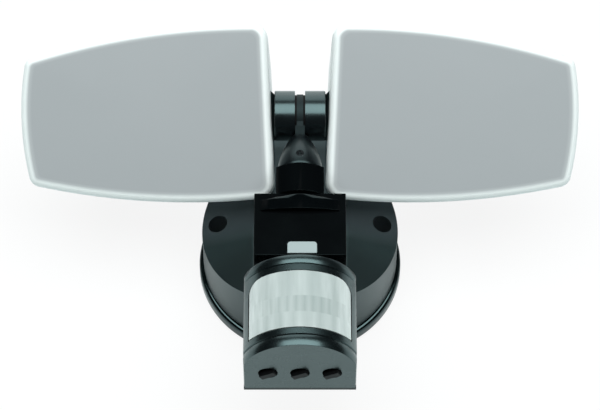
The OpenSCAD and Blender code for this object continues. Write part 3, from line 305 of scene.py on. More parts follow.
# How far forms and cuts run, past the faces that they trim
CUT = 2.0
SHELL_CUT = 1.0
DRUM_FORM_HH = 70.0
DRUM_CUT_D = 70.0
DRUM_FORM_D = 90.0
WING_SPARE = 5.0
RECESS_FORM_D = 60.0
PLATE_CUT_D = 20.0
NECK_CUT = 5.0
SENSOR_CUT = 3.0
CASE_POST_FRONT = 4.0
CASE_POST_BACK = 34.0
WELL_BACK = 44.0


# Mesh building

MERGE_M = 1e-7
WELD_M = 2e-6
FLAT_ANGLE = 0.4


def link(name, data):
    """A new object in the scene."""
    obj = bpy.data.objects.new(name, data)
    bpy.context.scene.collection.objects.link(obj)
    return obj


def new_object(name, verts, faces, matrix=None):
    """A mesh object from points in millimetres, its faces turned outward."""
    mesh = bpy.data.meshes.new(name)
    points = [Vector(v) for v in verts]
    if matrix is not None:
        points = [matrix @ p for p in points]
    mesh.from_pydata([p * MM for p in points], [], faces)
    bm = bmesh.new()
    bm.from_mesh(mesh)
    bmesh.ops.remove_doubles(bm, verts=bm.verts, dist=MERGE_M)
    bmesh.ops.recalc_face_normals(bm, faces=bm.faces)
    bm.to_mesh(mesh)
    bm.free()
    return link(name, mesh)


def loft(rings, closed=False):
    """Points and faces of a skin over rings of equal length, capped or, if closed, joined end to end."""
    n = len(rings[0])
    verts = [p for ring in rings for p in ring]
    faces = []
    spans = len(rings) if closed else len(rings) - 1
    for i in range(spans):
        a = i * n
        b = ((i + 1) % len(rings)) * n
        for j in range(n):
            k = (j + 1) % n
            faces.append((a + j, a + k, b + k, b + j))
    if not closed:
        faces.append(tuple(range(n)))
        last = (len(rings) - 1) * n
        faces.append(tuple(last + j for j in reversed(range(n))))
    return verts, faces


def lathe(profile, place, segments=LATHE_SEGMENTS, closed=False):
    """Revolves (radius, height) points; place turns (radius, angle, height) into a point."""
    rings = []
    for r, h in profile:
        rings.append([place(r, 2 * math.pi * i / segments, h) for i in range(segments)])
    return loft(rings, closed=closed)


def on_wall(r, a, d):
    """Point of a lathe that stands square on the wall."""
    return (r * math.cos(a), -d, r * math.sin(a))


def on_swivel(r, a, z):
    """Point of a lathe about the post's upright axis."""
    return (r * math.cos(a), -SWIVEL_D + r * math.sin(a), z)


def along_x(r, a, x):
    """Point of a lathe about the x axis."""
    return (x, r * math.cos(a), r * math.sin(a))


def polar(centre, r, angle):
    return (centre[0] + r * math.cos(angle), centre[1] + r * math.sin(angle))


def quarter_arc(centre, r, start, steps):
    """Points of a quarter circle, clockwise from a start angle."""
    return [polar(centre, r, math.radians(start - 90 * i / steps)) for i in range(steps + 1)]


def arch(hw, top, r, steps):
    """Points over a width with both upper corners rounded, from left to right."""
    left = quarter_arc((r - hw, top - r), r, 180, steps)
    return left + quarter_arc((hw - r, top - r), r, 90, steps)


def round_front(hw, r, centre, steps):
    """Points (x, d) of a round front over half a width, its centre at a distance from the wall."""
    a = math.asin(min(1.0, hw / r))
    points = []
    for i in range(steps + 1):
        t = -a + 2 * a * i / steps
        points.append((r * math.sin(t), centre + r * math.cos(t)))
    return points


def bar(p0, p1, r, segments=48, matrix=None):
    """A round bar between two points, used to cut holes and for hidden shafts."""
    p0, p1 = Vector(p0), Vector(p1)
    axis = (p1 - p0).normalized()
    side = axis.orthogonal().normalized()
    other = axis.cross(side)
    rings = []
    for p in (p0, p1):
        angles = [2 * math.pi * i / segments for i in range(segments)]
        rings.append([p + r * (math.cos(t) * side + math.sin(t) * other) for t in angles])
    return new_object("bar", *loft(rings), matrix=matrix)


def wall_bar(x, z, d0, d1, r, segments=48):
    """A round bar square to the wall, between two distances from it."""
    return bar((x, -d0, z), (x, -d1, z), r, segments)


def upright_bar(x, d, z0, z1, r):
    """An upright round bar between two heights."""
    return bar((x, -d, z0), (x, -d, z1), r)


def prism(plan, z0, z1):
    """An upright prism over a plan of (x, d) points."""
    return new_object("prism", *loft([[(x, -d, z) for x, d in plan] for z in (z0, z1)]))


def block(lo, hi, matrix=None):
    """A box between two corners."""
    (x0, y0, z0), (x1, y1, z1) = lo, hi
    rings = [[(x0, y0, z), (x1, y0, z), (x1, y1, z), (x0, y1, z)] for z in (z0, z1)]
    return new_object("block", *loft(rings), matrix=matrix)


def apply_modifiers(obj):
    graph = bpy.context.evaluated_depsgraph_get()
    mesh = bpy.data.meshes.new_from_object(obj.evaluated_get(graph))
    old = obj.data
    obj.modifiers.clear()
    obj.data = mesh
    bpy.data.meshes.remove(old)
    return obj


def combine(obj, tools, operation):
    """Cuts, joins or intersects with each tool in turn and removes the tools."""
    for tool in tools:
        mod = obj.modifiers.new("combine", "BOOLEAN")
        mod.operation = operation
        mod.solver = "EXACT"
        mod.object = tool
        apply_modifiers(obj)
        bpy.data.objects.remove(tool)
    return obj


def cut(obj, *tools):
    return combine(obj, tools, "DIFFERENCE")


def soften(obj, width, segments, angle):
    """Rounds every edge sharper than the angle."""
    bm = bmesh.new()
    bm.from_mesh(obj.data)
    bmesh.ops.remove_doubles(bm, verts=bm.verts, dist=WELD_M)
    bmesh.ops.dissolve_degenerate(bm, edges=bm.edges, dist=WELD_M)
    bm.to_mesh(obj.data)
    bm.free()
    mod = obj.modifiers.new("soften", "BEVEL")
    mod.width = width * MM
    mod.segments = segments
    mod.limit_method = "ANGLE"
    mod.angle_limit = math.radians(angle)
    mod.harden_normals = True
    mod.miter_outer = "MITER_ARC"
    return apply_modifiers(obj)


def join(obj, others):
    """Adds the meshes of other objects to obj."""
    bm = bmesh.new()
    bm.from_mesh(obj.data)
    for other in others:
        bm.from_mesh(other.data)
        bpy.data.objects.remove(other)
    bm.to_mesh(obj.data)
    bm.free()


def from_node(name, width):
    """A copy of a CAD node with its flat faces merged and its sharp edges rounded."""
    mesh = NODES[name].data.copy()
    bm = bmesh.new()
    bm.from_mesh(mesh)
    bmesh.ops.remove_doubles(bm, verts=bm.verts, dist=WELD_M)
    bmesh.ops.dissolve_limit(bm, angle_limit=math.radians(FLAT_ANGLE), verts=bm.verts, edges=bm.edges)
    bm.to_mesh(mesh)
    bm.free()
    return soften(link(name + "_form", mesh), width, segments=2, angle=35)


def dress(obj, name, body, material, nodes, sharp=40):
    """Names a finished piece, gives it its material and ties it to the frame."""
    obj.name = name
    obj.data.name = name
    obj.data.materials.clear()
    obj.data.materials.append(material)
    for polygon in obj.data.polygons:
        polygon.use_smooth = True
    obj.data.set_sharp_from_angle(angle=math.radians(sharp))
    mod = obj.modifiers.new("normals", "WEIGHTED_NORMAL")
    mod.weight = 100
    mod.keep_sharp = True
    apply_modifiers(obj)
    obj.data.name = name
    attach(obj, body)
    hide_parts(*nodes)


def set_points(obj, name, values):
    """A value for each point of the mesh, which its material reads by name."""
    layer = obj.data.attributes.new(name, "FLOAT", "POINT")
    layer.data.foreach_set("value", values[:len(obj.data.vertices)])


# Materials

CLOUD_SCALE = 24.0
CLOUD_DARK = 0.9
CLOUD_LIGHT = 1.1
GRAIN_SCALE = 2600.0
WAVE_SCALE = 160.0
WORN_GREY = 0.30
WORN_SHARE = 0.25


def tint(colour, factor):
    return tuple(c * factor for c in colour)


class Shader:
    """A node material with a Principled shader and helpers that add nodes to it."""

    def __init__(self, name):
        self.material = bpy.data.materials.new(name)
        self.material.use_nodes = True
        self.nodes = self.material.node_tree.nodes
        self.links = self.material.node_tree.links
        self.bsdf = self.nodes["Principled BSDF"]
        self.coords = self.nodes.new("ShaderNodeTexCoord")

    def set(self, **sockets):
        for key, value in sockets.items():
            self.bsdf.inputs[key.replace("_", " ")].default_value = value

    def noise(self, scale, detail, stretch=None):
        node = self.nodes.new("ShaderNodeTexNoise")
        node.inputs["Scale"].default_value = scale
        node.inputs["Detail"].default_value = detail
        node.inputs["Roughness"].default_value = 0.55
        source = self.coords.outputs["Object"]
        if stretch is not None:
            mapping = self.nodes.new("ShaderNodeMapping")
            mapping.inputs["Scale"].default_value = stretch
            self.links.new(source, mapping.inputs["Vector"])
            source = mapping.outputs["Vector"]
        self.links.new(source, node.inputs["Vector"])
        return node.outputs["Fac"]

    def ramp(self, source, low, high, start=0.3, end=0.7):
        node = self.nodes.new("ShaderNodeMapRange")
        node.inputs["From Min"].default_value = start
        node.inputs["From Max"].default_value = end
        node.inputs["To Min"].default_value = low
        node.inputs["To Max"].default_value = high
        self.links.new(source, node.inputs["Value"])
        return node.outputs["Result"]

    def mix(self, factor, a, b):
        node = self.nodes.new("ShaderNodeMix")
        node.data_type = "RGBA"
        self.links.new(factor, node.inputs["Factor"])
        self.feed(node.inputs["A"], a)
        self.feed(node.inputs["B"], b)
        return node.outputs["Result"]

    def feed(self, socket, value):
        if isinstance(value, bpy.types.NodeSocket):
            self.links.new(value, socket)
        else:
            socket.default_value = (*value, 1.0)

    def times(self, source, factor):
        node = self.nodes.new("ShaderNodeMath")
        node.operation = "MULTIPLY"
        self.links.new(source, node.inputs[0])
        node.inputs[1].default_value = factor
        return node.outputs["Value"]

    def clouded(self, cloud, colour):
        return self.mix(cloud, tint(colour, CLOUD_DARK), tint(colour, CLOUD_LIGHT))

    def colour(self, value):
        self.feed(self.bsdf.inputs["Base Color"], value)

    def roughness(self, source):
        self.links.new(source, self.bsdf.inputs["Roughness"])

    def attribute(self, name):
        node = self.nodes.new("ShaderNodeAttribute")
        node.attribute_name = name
        return node.outputs["Fac"]

    def edges(self):
        node = self.nodes.new("ShaderNodeNewGeometry")
        return self.ramp(node.outputs["Pointiness"], 0.0, 1.0, start=0.52, end=0.62)

    def bump(self, source, distance):
        node = self.nodes.new("ShaderNodeBump")
        node.inputs["Distance"].default_value = distance * MM
        self.links.new(source, node.inputs["Height"])
        previous = self.bsdf.inputs["Normal"]
        if previous.is_linked:
            self.links.new(previous.links[0].from_socket, node.inputs["Normal"])
        self.links.new(node.outputs["Normal"], previous)

    def grained(self, scale, grain, wave):
        """Fine grain over slow waves."""
        self.bump(self.noise(scale, 2.0), grain)
        self.bump(self.noise(WAVE_SCALE, 2.0), wave)


def moulded(name, colour, rough, grain=0.012, grain_scale=GRAIN_SCALE, level=0.5, spread=0.05, wear=0.25,
            sheen=(1.0, 1.0, 1.0)):
    """Moulded plastic: fine spark-eroded grain, slow colour and gloss changes, paler worn edges."""
    s = Shader(name)
    base = s.clouded(s.noise(CLOUD_SCALE, 4.0), colour)
    worn = tuple(c + (WORN_GREY - c) * WORN_SHARE for c in colour)
    s.colour(s.mix(s.times(s.edges(), wear), base, worn))
    s.roughness(s.ramp(s.noise(60.0, 5.0), rough - spread, rough + spread))
    s.grained(grain_scale, grain, grain * 0.6)
    s.set(Specular_IOR_Level=level, Specular_Tint=(*sheen, 1.0))
    return s.material


def metal(name, colour, rough):
    """Plated or drawn metal with fine lay marks."""
    s = Shader(name)
    lay = s.noise(900.0, 3.0, stretch=(1.0, 1.0, 0.08))
    s.colour(s.mix(lay, tint(colour, 0.82), tint(colour, 1.08)))
    s.roughness(s.ramp(s.noise(300.0, 4.0), rough - 0.08, rough + 0.1))
    s.bump(lay, 0.006)
    s.set(Metallic=1.0)
    return s.material


def graded(name, span, low, high):
    """Black plastic whose finish changes over a span of heights in metres.

    low and high each give a colour, a roughness and a gloss level.
    """
    s = Shader(name)
    split = s.nodes.new("ShaderNodeSeparateXYZ")
    s.links.new(s.coords.outputs["Object"], split.inputs["Vector"])
    share = s.ramp(split.outputs["Z"], 0.0, 1.0, *span)
    cloud = s.noise(CLOUD_SCALE, 4.0)
    s.colour(s.mix(share, s.clouded(cloud, low[0]), s.clouded(cloud, high[0])))
    s.roughness(s.ramp(share, low[1], high[1], 0.0, 1.0))
    s.links.new(s.ramp(share, low[2], high[2], 0.0, 1.0), s.bsdf.inputs["Specular IOR Level"])
    s.grained(GRAIN_SCALE, 0.004, 0.003)
    s.set(Specular_Tint=(*COOL, 1.0))
    return s.material


def opal_material():
    """Opal diffuser: satin face, and a rounded rim painted paler, as painted light that the wall scatters.
    """
    s = Shader("opal")
    face = s.mix(s.noise(18.0, 3.0), (0.345, 0.386, 0.398), (0.360, 0.402, 0.414))
    rim = (0.87, 0.96, 0.95)
    s.colour(s.mix(s.attribute("rim"), face, rim))
    s.roughness(s.ramp(s.noise(90.0, 4.0), 0.42, 0.52))
    s.bump(s.noise(3200.0, 2.0), 0.004)
    s.set(Specular_IOR_Level=0.35, IOR=1.49)
    return s.material


def lens_material():
    """Milky infrared lens, each lenslet a little lighter or darker, with painted light towards the lens's
    ends.
    """
    s = Shader("lens_plastic")
    base = s.mix(s.attribute("lenslet"), (0.280, 0.350, 0.342), (0.780, 0.880, 0.865))
    streak = s.ramp(s.noise(260.0, 3.0, stretch=(1.0, 1.0, 0.15)), 0.0, 0.5)
    streak_colour = (0.310, 0.385, 0.370)
    s.colour(s.mix(streak, base, streak_colour))
    s.roughness(s.ramp(s.noise(120.0, 3.0), 0.28, 0.38))
    s.bump(s.noise(2200.0, 2.0), 0.006)
    s.set(Specular_IOR_Level=0.45)
    return s.material


COOL = (0.64, 0.98, 1.0)
INK = (0.0008, 0.0013, 0.0017)
BLACK = moulded("black_shell", INK, 0.11, grain=0.0015, level=0.8, spread=0.02, wear=0.05, sheen=COOL)
DULL = moulded("black_arm", INK, 0.11, grain=0.0015, level=0.3, spread=0.02, wear=0.05, sheen=COOL)
SHELL = moulded("sensor_shell", INK, 0.27, grain=0.003, level=1.0, spread=0.03, wear=0.05, sheen=COOL)
GRAPHITE = moulded("graphite", (0.002, 0.003, 0.004), 0.24, grain=0.003, level=0.9, spread=0.03, wear=0.1,
                   sheen=COOL)
DIAL = moulded("dial_black", INK, 0.40, grain=0.004, level=0.12, wear=0.3, sheen=COOL)
RUBBER = moulded("rubber", (0.006, 0.006, 0.006), 0.75, grain=0.03, grain_scale=1200.0, level=0.25, wear=0.0)
PALE = moulded("pale_plate", (0.308, 0.392, 0.396), 0.42, wear=0.0)
NATURAL = moulded("terminal_plastic", (0.55, 0.54, 0.50), 0.45, wear=0.1)
JACKET = moulded("lead_jacket", (0.16, 0.07, 0.04), 0.45)
MASK = moulded("circuit_board", (0.012, 0.085, 0.030), 0.35, grain=0.02, grain_scale=700.0)
VARNISH = moulded("winding", (0.09, 0.035, 0.012), 0.30, grain=0.05, grain_scale=500.0)
SLEEVE = moulded("capacitor_sleeve", (0.010, 0.014, 0.045), 0.22)
RELAY = moulded("relay_case", (0.010, 0.045, 0.200), 0.28)
TRIMMER = moulded("trimmer_case", (0.010, 0.050, 0.180), 0.40)
PHOSPHOR = moulded("led_phosphor", (0.72, 0.58, 0.12), 0.30, wear=0.0)
CELL = moulded("cell_face", (0.32, 0.06, 0.02), 0.18, wear=0.0)
STEEL = metal("steel", (0.52, 0.53, 0.54), 0.32)
BLACK_STEEL = metal("black_steel", (0.020, 0.024, 0.026), 0.35)
BRASS = metal("brass", (0.66, 0.44, 0.15), 0.30)
CAN = metal("detector_can", (0.62, 0.62, 0.62), 0.25)
BOARD_METAL = metal("board_metal", (0.80, 0.81, 0.82), 0.45)
OPAL = opal_material()
LENS = lens_material()

# The bell is satin and its lug duller. The drum's colour is painted lighter towards its top, as painted
# light on the upper wings under the heads.
SATIN = graded("satin_graphite", (0.029, 0.033),
               low=((0.003, 0.004, 0.005), 0.30, 0.46),
               high=((0.004, 0.005, 0.006), 0.60, 0.36))
# The high colour paints light onto the drum's upper wings.
DRUM_PAINTED_TOP_LIGHT = graded("black_drum_painted_top_light", (-0.012, 0.012),
              low=(INK, 0.34, 0.8),
              high=((0.075, 0.094, 0.104), 0.45, 0.8))


# Wall base

def plan_arm(inset, back):
    """Plan of the arm with rounded front corners, as (x, d) points."""
    r = max(ARM_EDGE_LEAST, ARM_EDGE_R - inset)
    hw = ARM_HW - inset
    return [(-hw, back)] + arch(hw, ARM_D - inset, r, ARC_STEPS) + [(hw, back)]


def plan_drum(inset, back, crease):
    """Plan of the drum's wings, their creases rounded by an arc, as (x, d) points."""
    slope = math.atan2(COVER_D - WING_D, COVER_R - ARM_HW)
    front = COVER_D - inset
    reach = COVER_R + WING_SPARE
    tip = front - (reach - ARM_HW) * math.tan(slope)
    half = [(-reach, back), (-reach, tip)]
    if crease > 0:
        centre = (-ARM_HW + crease * math.tan(slope / 2), front - crease)
        for i in range(ARC_STEPS + 1):
            half.append(polar(centre, crease, math.radians(90) + slope * (1 - i / ARC_STEPS)))
    else:
        half.append((-ARM_HW, front))
    return half + [(-x, d) for x, d in reversed(half)]


def drum_form(inset, back, crease):
    """The drum's outer or inner form: a round bar cut to the wings' plan."""
    form = prism(plan_drum(inset, back, crease), -DRUM_FORM_HH, DRUM_FORM_HH)
    return combine(form, [wall_bar(0, 0, 0, DRUM_FORM_D, COVER_R - inset, DRUM_SEGMENTS)], "INTERSECT")


def base_cover():
    """Hollow drum with sloping wings, its screw recesses and the opening behind the arm."""
    drum = drum_form(0, COVER_BACK, WING_CREASE)
    hollow = drum_form(COVER_WALL, COVER_BACK - SHELL_CUT, 0)
    gate = block((-GATE_HW, -COVER_D - SHELL_CUT, ARM_BOTTOM + COVER_WALL),
                 (GATE_HW, GATE_L - COVER_D, ARM_TOP - COVER_WALL))
    combine(hollow, [gate], "UNION")
    for x in (-HOLE_X, HOLE_X):
        cut(hollow, wall_bar(x, HOLE_Z, RECESS_BACK, RECESS_FORM_D, RECESS_R + RECESS_WALL),
            wall_bar(x, HOLE_Z, 0, SEAT_POST_D, SEAT_POST_R))
    cut(drum, hollow)
    for x in (-HOLE_X, HOLE_X):
        cut(drum, wall_bar(x, HOLE_Z, SEAT_D, DRUM_CUT_D, RECESS_R, segments=56),
            wall_bar(x, HOLE_Z, 0, DRUM_CUT_D, HOLE_R))
    soften(drum, 0.9, segments=4, angle=28)
    dress(drum, "base_drum", "base", DRUM_PAINTED_TOP_LIGHT, ["front_cover"])


def arm_piece():
    """Hollow arm on the drum's front, open to the neck above and slotted for the sensor below."""
    floor = ARM_BOTTOM + COVER_WALL
    ceiling = ARM_TOP - COVER_WALL
    arm = prism(plan_arm(0, COVER_D - ARM_INTO_DRUM), ARM_BOTTOM, ARM_TOP)
    soften(arm, 0.12, segments=2, angle=28)
    cut(
        arm,
        drum_form(0, COVER_BACK, WING_CREASE),
        prism(plan_arm(COVER_WALL, COVER_D - BORE_INTO_DRUM), floor, ceiling),
        upright_bar(0, SWIVEL_D, ceiling - CUT, ARM_TOP + CUT, SHANK_R + SHANK_CLEARANCE),
        block((-SLOT_HW, -PAN_D - SLOT_HL, ARM_BOTTOM - CUT), (SLOT_HW, -PAN_D + SLOT_HL, floor + CUT)),
    )
    dress(arm, "base_arm", "base", DULL, ["arm_cover"])


def wall_plate():
    """Round wall plate with a rounded rim, its screw and cable holes open at the back."""
    middle = 0.5
    profile = [(middle, 0.0), (PLATE_R - PLATE_CHAMFER, 0.0),
               (PLATE_R - PLATE_CHAMFER_MID, PLATE_CHAMFER_MID), (PLATE_R, PLATE_CHAMFER)]
    for i in range(ARC_STEPS + 1):
        a = math.radians(90 * i / ARC_STEPS)
        r = PLATE_R - PLATE_ROUND * (1 - math.cos(a))
        profile.append((r, PLATE_T - PLATE_ROUND * (1 - math.sin(a))))
    inside = PLATE_R - PLATE_RIM
    profile += [(inside, PLATE_T), (inside, PLATE_FLOOR), (middle, PLATE_FLOOR)]
    plate = new_object("plate", *lathe(profile, on_wall, PLATE_SEGMENTS))
    holes = [wall_bar(0, CABLE_Z, -CUT, PLATE_CUT_D, GROMMET_R)]
    for s in (-1, 1):
        holes.append(wall_bar(s * HOLE_X, HOLE_Z, -CUT, PLATE_CUT_D, HOLE_R))
        holes.append(wall_bar(s * HOLE_X, HOLE_Z, PLATE_FLOOR, PLATE_CUT_D, SEAT_POST_R + SEAT_GAP))
        for t in (-1, 1):
            x, z = s * COVER_SCREW_X, t * COVER_SCREW_Z
            holes.append(wall_bar(x, z, -CUT, PLATE_CUT_D, COVER_SCREW_R, segments=24))
            holes.append(wall_bar(x, z, -CUT, COUNTERBORE_D, COUNTERBORE_R, segments=32))
    cut(plate, *holes)
    soften(plate, 0.3, segments=2, angle=50)
    dress(plate, "wall_plate", "base", BLACK, ["back_plate"])


def neck_ring(hw, r, back, z):
    """A ring of the neck's foot: a straight back and sides, and a round front."""
    front = round_front(hw, r, NECK_D - r, RING_STEPS)
    return [(x, -d, z) for x, d in [(-hw, back)] + front + [(hw, back)]]


def column_ring(z):
    """A ring of the column: a round front, straight sides and a half-round back about the swivel axis."""
    front = round_front(NECK_HW, COLUMN_R, NECK_D - COLUMN_R, RING_STEPS)
    back = []
    for i in range(RING_STEPS + 1):
        a = math.pi * i / RING_STEPS
        back.append((NECK_HW * math.cos(a), SWIVEL_D - NECK_HW * math.sin(a)))
    return [(x, -d, z) for x, d in front + back]


def neck_piece():
    """Neck with its flared foot on the arm's front, and the heel on the arm's top."""
    back = ARM_D - FOOT_SINK
    rings = [neck_ring(FOOT_HW, FOOT_R, back, z) for z in (FOOT_BOTTOM, FOOT_TOP)]
    for i in range(1, FLARE_STEPS + 1):
        t = i / FLARE_STEPS
        hw = NECK_HW + (FOOT_HW - NECK_HW) * (1 - math.sqrt(1 - (1 - t) ** 2))
        r = FOOT_R + (COLUMN_R - FOOT_R) * t
        rings.append(neck_ring(hw, r, back, FOOT_TOP + (FLARE_TOP - FOOT_TOP) * t))
    neck = new_object("neck", *loft(rings))
    column = new_object("column", *loft([column_ring(z) for z in (ARM_TOP, NECK_TOP)]))
    heel = block((-NECK_HW, -SWIVEL_D, ARM_TOP), (NECK_HW, HEEL_L - SWIVEL_D, ARM_TOP + HEEL_H))
    combine(neck, [column, heel], "UNION")
    bore = upright_bar(0, SWIVEL_D, ARM_TOP - NECK_CUT, NECK_TOP + NECK_CUT, SHANK_R + TURNING_FIT)
    cut(neck, bore)
    soften(neck, 0.7, segments=3, angle=32)
    dress(neck, "neck_cover", "base", DULL, ["neck"])


# Swivel post and heads

def bell_radius(h):
    return BELL_R - (BELL_R - BELL_TOP_R) * (h / BELL_H) ** BELL_CURVE


def post_piece():
    """Bell, stem and lug of the swivel post, with the shank and the two pivot spigots."""
    middle = 0.4
    profile = [(middle, BELL_BOTTOM), (BELL_R - BELL_EDGE, BELL_BOTTOM),
               (BELL_R - BELL_EDGE_H, BELL_BOTTOM + BELL_EDGE_H)]
    for i in range(1, BELL_STEPS + 1):
        h = BELL_H * i / BELL_STEPS
        profile.append((bell_radius(h), BELL_BOTTOM + h))
    profile.append((middle, BELL_BOTTOM + BELL_H))
    post = new_object("post", *lathe(profile, on_swivel))
    rings = []
    for z, hw, hl in STEM_RINGS:
        corners = ((-hw, -hl), (hw, -hl), (hw, hl), (-hw, hl))
        rings.append([(x, -SWIVEL_D + y, z) for x, y in corners])
    stem = new_object("stem", *loft(rings))
    hinge = Vector((0, -SWIVEL_D, HINGE_Z))
    sideways = Vector((1, 0, 0))
    lug = bar(hinge - LUG_HW * sideways, hinge + LUG_HW * sideways, LUG_R, LATHE_SEGMENTS)
    combine(post, [stem, lug], "UNION")
    head_d = SWIVEL_D + bell_radius(BELL_SCREW_Z - BELL_BOTTOM) - BELL_SCREW_SINK
    screw_well = wall_bar(0, BELL_SCREW_Z, head_d, head_d + 2 * CUT, BELL_SCREW_R, segments=40)
    cut(post, screw_well)
    soften(post, 0.3, segments=3, angle=38)
    shafts = [upright_bar(0, SWIVEL_D, SHANK_BOTTOM, BELL_BOTTOM + SHANK_INTO_BELL, SHANK_R)]
    for outward in (-sideways, sideways):
        shafts.append(bar(hinge + SPIGOT_START * outward, hinge + SPIGOT_END * outward, SPIGOT_R))
    join(post, shafts)
    dress(post, "post_cover", "post", SATIN, ["swivel_post"])


def pivot_matrix(side):
    """The pivot line's axes, with x outward to a side."""
    return Matrix.Translation((0, -SWIVEL_D, HINGE_Z)) @ Matrix.Scale(side, 4, (1, 0, 0))


def head_matrix(side):
    """A head's own axes, toed in and pitched on its pivot."""
    toe = Matrix.Rotation(math.radians(HEAD_TOE), 4, "Z")
    pitch = Matrix.Rotation(math.radians(HEAD_PITCH), 4, "X")
    return pivot_matrix(side) @ toe @ pitch


def turned(profile, side):
    """A ring turned about the pivot line."""
    return new_object("ring", *lathe(profile, along_x, closed=True), matrix=pivot_matrix(side))


def barrel(side, name):
    """Barrel of a head, bored for its spigot and nut."""
    a, b, r = BARREL_START, BARREL_END, BARREL_R
    profile = [
        (r - BARREL_IN_EDGE, a),
        (r - BARREL_IN_MID, a + BARREL_IN_MID),
        (r, a + BARREL_IN_EDGE),
        (r, b - BARREL_OUT_EDGE),
        (r - BARREL_OUT_MID, b - BARREL_OUT_MID),
        (r - BARREL_OUT_EDGE, b),
        (NUT_POCKET_R, b),
        (NUT_POCKET_R, BEARING_END),
        (SPIGOT_BORE, BEARING_END),
        (SPIGOT_BORE, a),
    ]
    dress(turned(profile, side), name + "_barrel", name + "_head", GRAPHITE, [name + "_knuckle"])


def pivot_washer(side, name):
    """Friction washer pressed between the lug and a barrel."""
    a, b, r = LUG_HW, BARREL_START - WASHER_GAP, LUG_R - WASHER_INSET
    profile = [
        (SPIGOT_BORE, a),
        (r - WASHER_EDGE, a),
        (r, a + WASHER_EDGE),
        (r, b - WASHER_EDGE),
        (r - WASHER_EDGE, b),
        (SPIGOT_BORE, b),
    ]
    washer = turned(profile, side)
    dress(washer, name + "_friction_washer", "post", RUBBER, [name + "_pivot_washer"])


def edge_height(a):
    return HEAD_HH - (a - CREST_A) ** 2 / (2 * EDGE_ROUND)


def edge_slope(a):
    return -(a - CREST_A) / EDGE_ROUND


def edge_normal(a):
    return math.atan(edge_slope(a)) + math.pi / 2


def end_reach(b):
    return HEAD_OUT - b * b / (2 * END_ROUND)


def outer_corner():
    """Centre of the outer corner's arc, which touches the long edge and the end."""
    rounds = 8
    a = HEAD_OUT - CORNER_OUT
    for _ in range(rounds):
        b = edge_height(a) - CORNER_OUT * math.hypot(1, edge_slope(a))
        a = end_reach(b) - CORNER_OUT * math.hypot(1, b / END_ROUND)
    return a, b


def corner(centre, r, start, end):
    """Points of a rounded corner between two angles."""
    return [polar(centre, r, start + (end - start) * i / CORNER_STEPS) for i in range(CORNER_STEPS + 1)]


def mirrored(half):
    """A closed outline from its upper half, which runs from the inner edge's middle to the outer edge."""
    return half + [(a, -b) for a, b in reversed(half[1:])]


def head_outline(t):
    """Outline of a head drawn in by t, as (a, b) points."""
    inner = (HEAD_IN + CORNER_IN, edge_height(HEAD_IN + CORNER_IN) - CORNER_IN)
    outer = outer_corner()
    half = [(HEAD_IN + t, inner[1] * i / SIDE_STEPS) for i in range(SIDE_STEPS)]
    half += corner(inner, CORNER_IN - t, math.pi, edge_normal(inner[0]))
    for i in range(1, EDGE_STEPS):
        a = inner[0] + (outer[0] - inner[0]) * i / EDGE_STEPS
        half.append(polar((a, edge_height(a)), -t, edge_normal(a)))
    half += corner(outer, CORNER_OUT - t, edge_normal(outer[0]), math.atan(outer[1] / END_ROUND))
    for i in range(END_STEPS - 1, 0, -1):
        b = outer[1] * i / END_STEPS
        half.append((end_reach(b) - t, b))
    return mirrored(half)


def back_outline(t):
    """Outline of a housing's back, with the same points in turn as a head's outline."""
    inner = (BACK_IN + t + BACK_R_IN, BACK_HH_IN - t - BACK_R_IN)
    outer = (BACK_OUT - BACK_R, BACK_HH_OUT - BACK_R)
    r = BACK_R - t
    lean = math.atan2(inner[1] + BACK_R_IN - outer[1] - r, outer[0] - inner[0])
    top = math.pi / 2 - lean
    half = [(BACK_IN + t, inner[1] * i / SIDE_STEPS) for i in range(SIDE_STEPS)]
    half += corner(inner, BACK_R_IN, math.pi, top)
    start = half[-1]
    stop = polar(outer, r, top)
    for i in range(1, EDGE_STEPS):
        s = i / EDGE_STEPS
        half.append((start[0] + (stop[0] - start[0]) * s, start[1] + (stop[1] - start[1]) * s))
    half += corner(outer, r, top, 0.0)
    for i in range(END_STEPS - 1, 0, -1):
        half.append((outer[0] + r, outer[1] * i / END_STEPS))
    return mirrored(half)


def at_depth(outline, depth):
    """An outline in a head's own axes, at a depth behind its face."""
    return [(a, depth - FACE_AHEAD, b + HEAD_RISE) for a, b in outline]


def shrunk(outline, share):
    """An outline shrunk about its middle."""
    middle = sum(a for a, _ in outline) / len(outline)
    return [(middle + (a - middle) * share, b * share) for a, b in outline]


def diffuser_piece(side, name):
    """Opal cover of a head: a gently crowned face, a rounded rim and a thin wall."""
    face = head_outline(DIFFUSER_ROUND)
    rings = []
    shades = []

    def add(ring, shade):
        rings.append(ring)
        shades.extend([shade] * len(ring))

    for share in FACE_SHARES:
        add(at_depth(shrunk(face, share), -DIFFUSER_CROWN * (1 - share ** 2)), 0.0)
    for i in range(ARC_STEPS + 1):
        g = math.radians(90 - 90 * i / ARC_STEPS)
        outline = head_outline(DIFFUSER_ROUND * (1 - math.cos(g)))
        depth = DIFFUSER_ROUND * (1 - math.sin(g))
        add(at_depth(outline, depth), min(1.0, RIM_PAINTED_GLOW + RIM_PAINTED_GLOW_STEP * i))
    for depth, t in SKIRT_RINGS:
        add(at_depth(head_outline(t), depth), 1.0)
    add(at_depth(shrunk(face, FACE_MIDDLE), DIFFUSER_WALL), 0.0)
    obj = new_object("diffuser", *loft(rings), matrix=head_matrix(side))
    # The rim values tell the material where to paint the rim paler, as painted glow.
    set_points(obj, "rim", shades)
    dress(obj, name + "_opal", name + "_head", OPAL, [name + "_diffuser"])


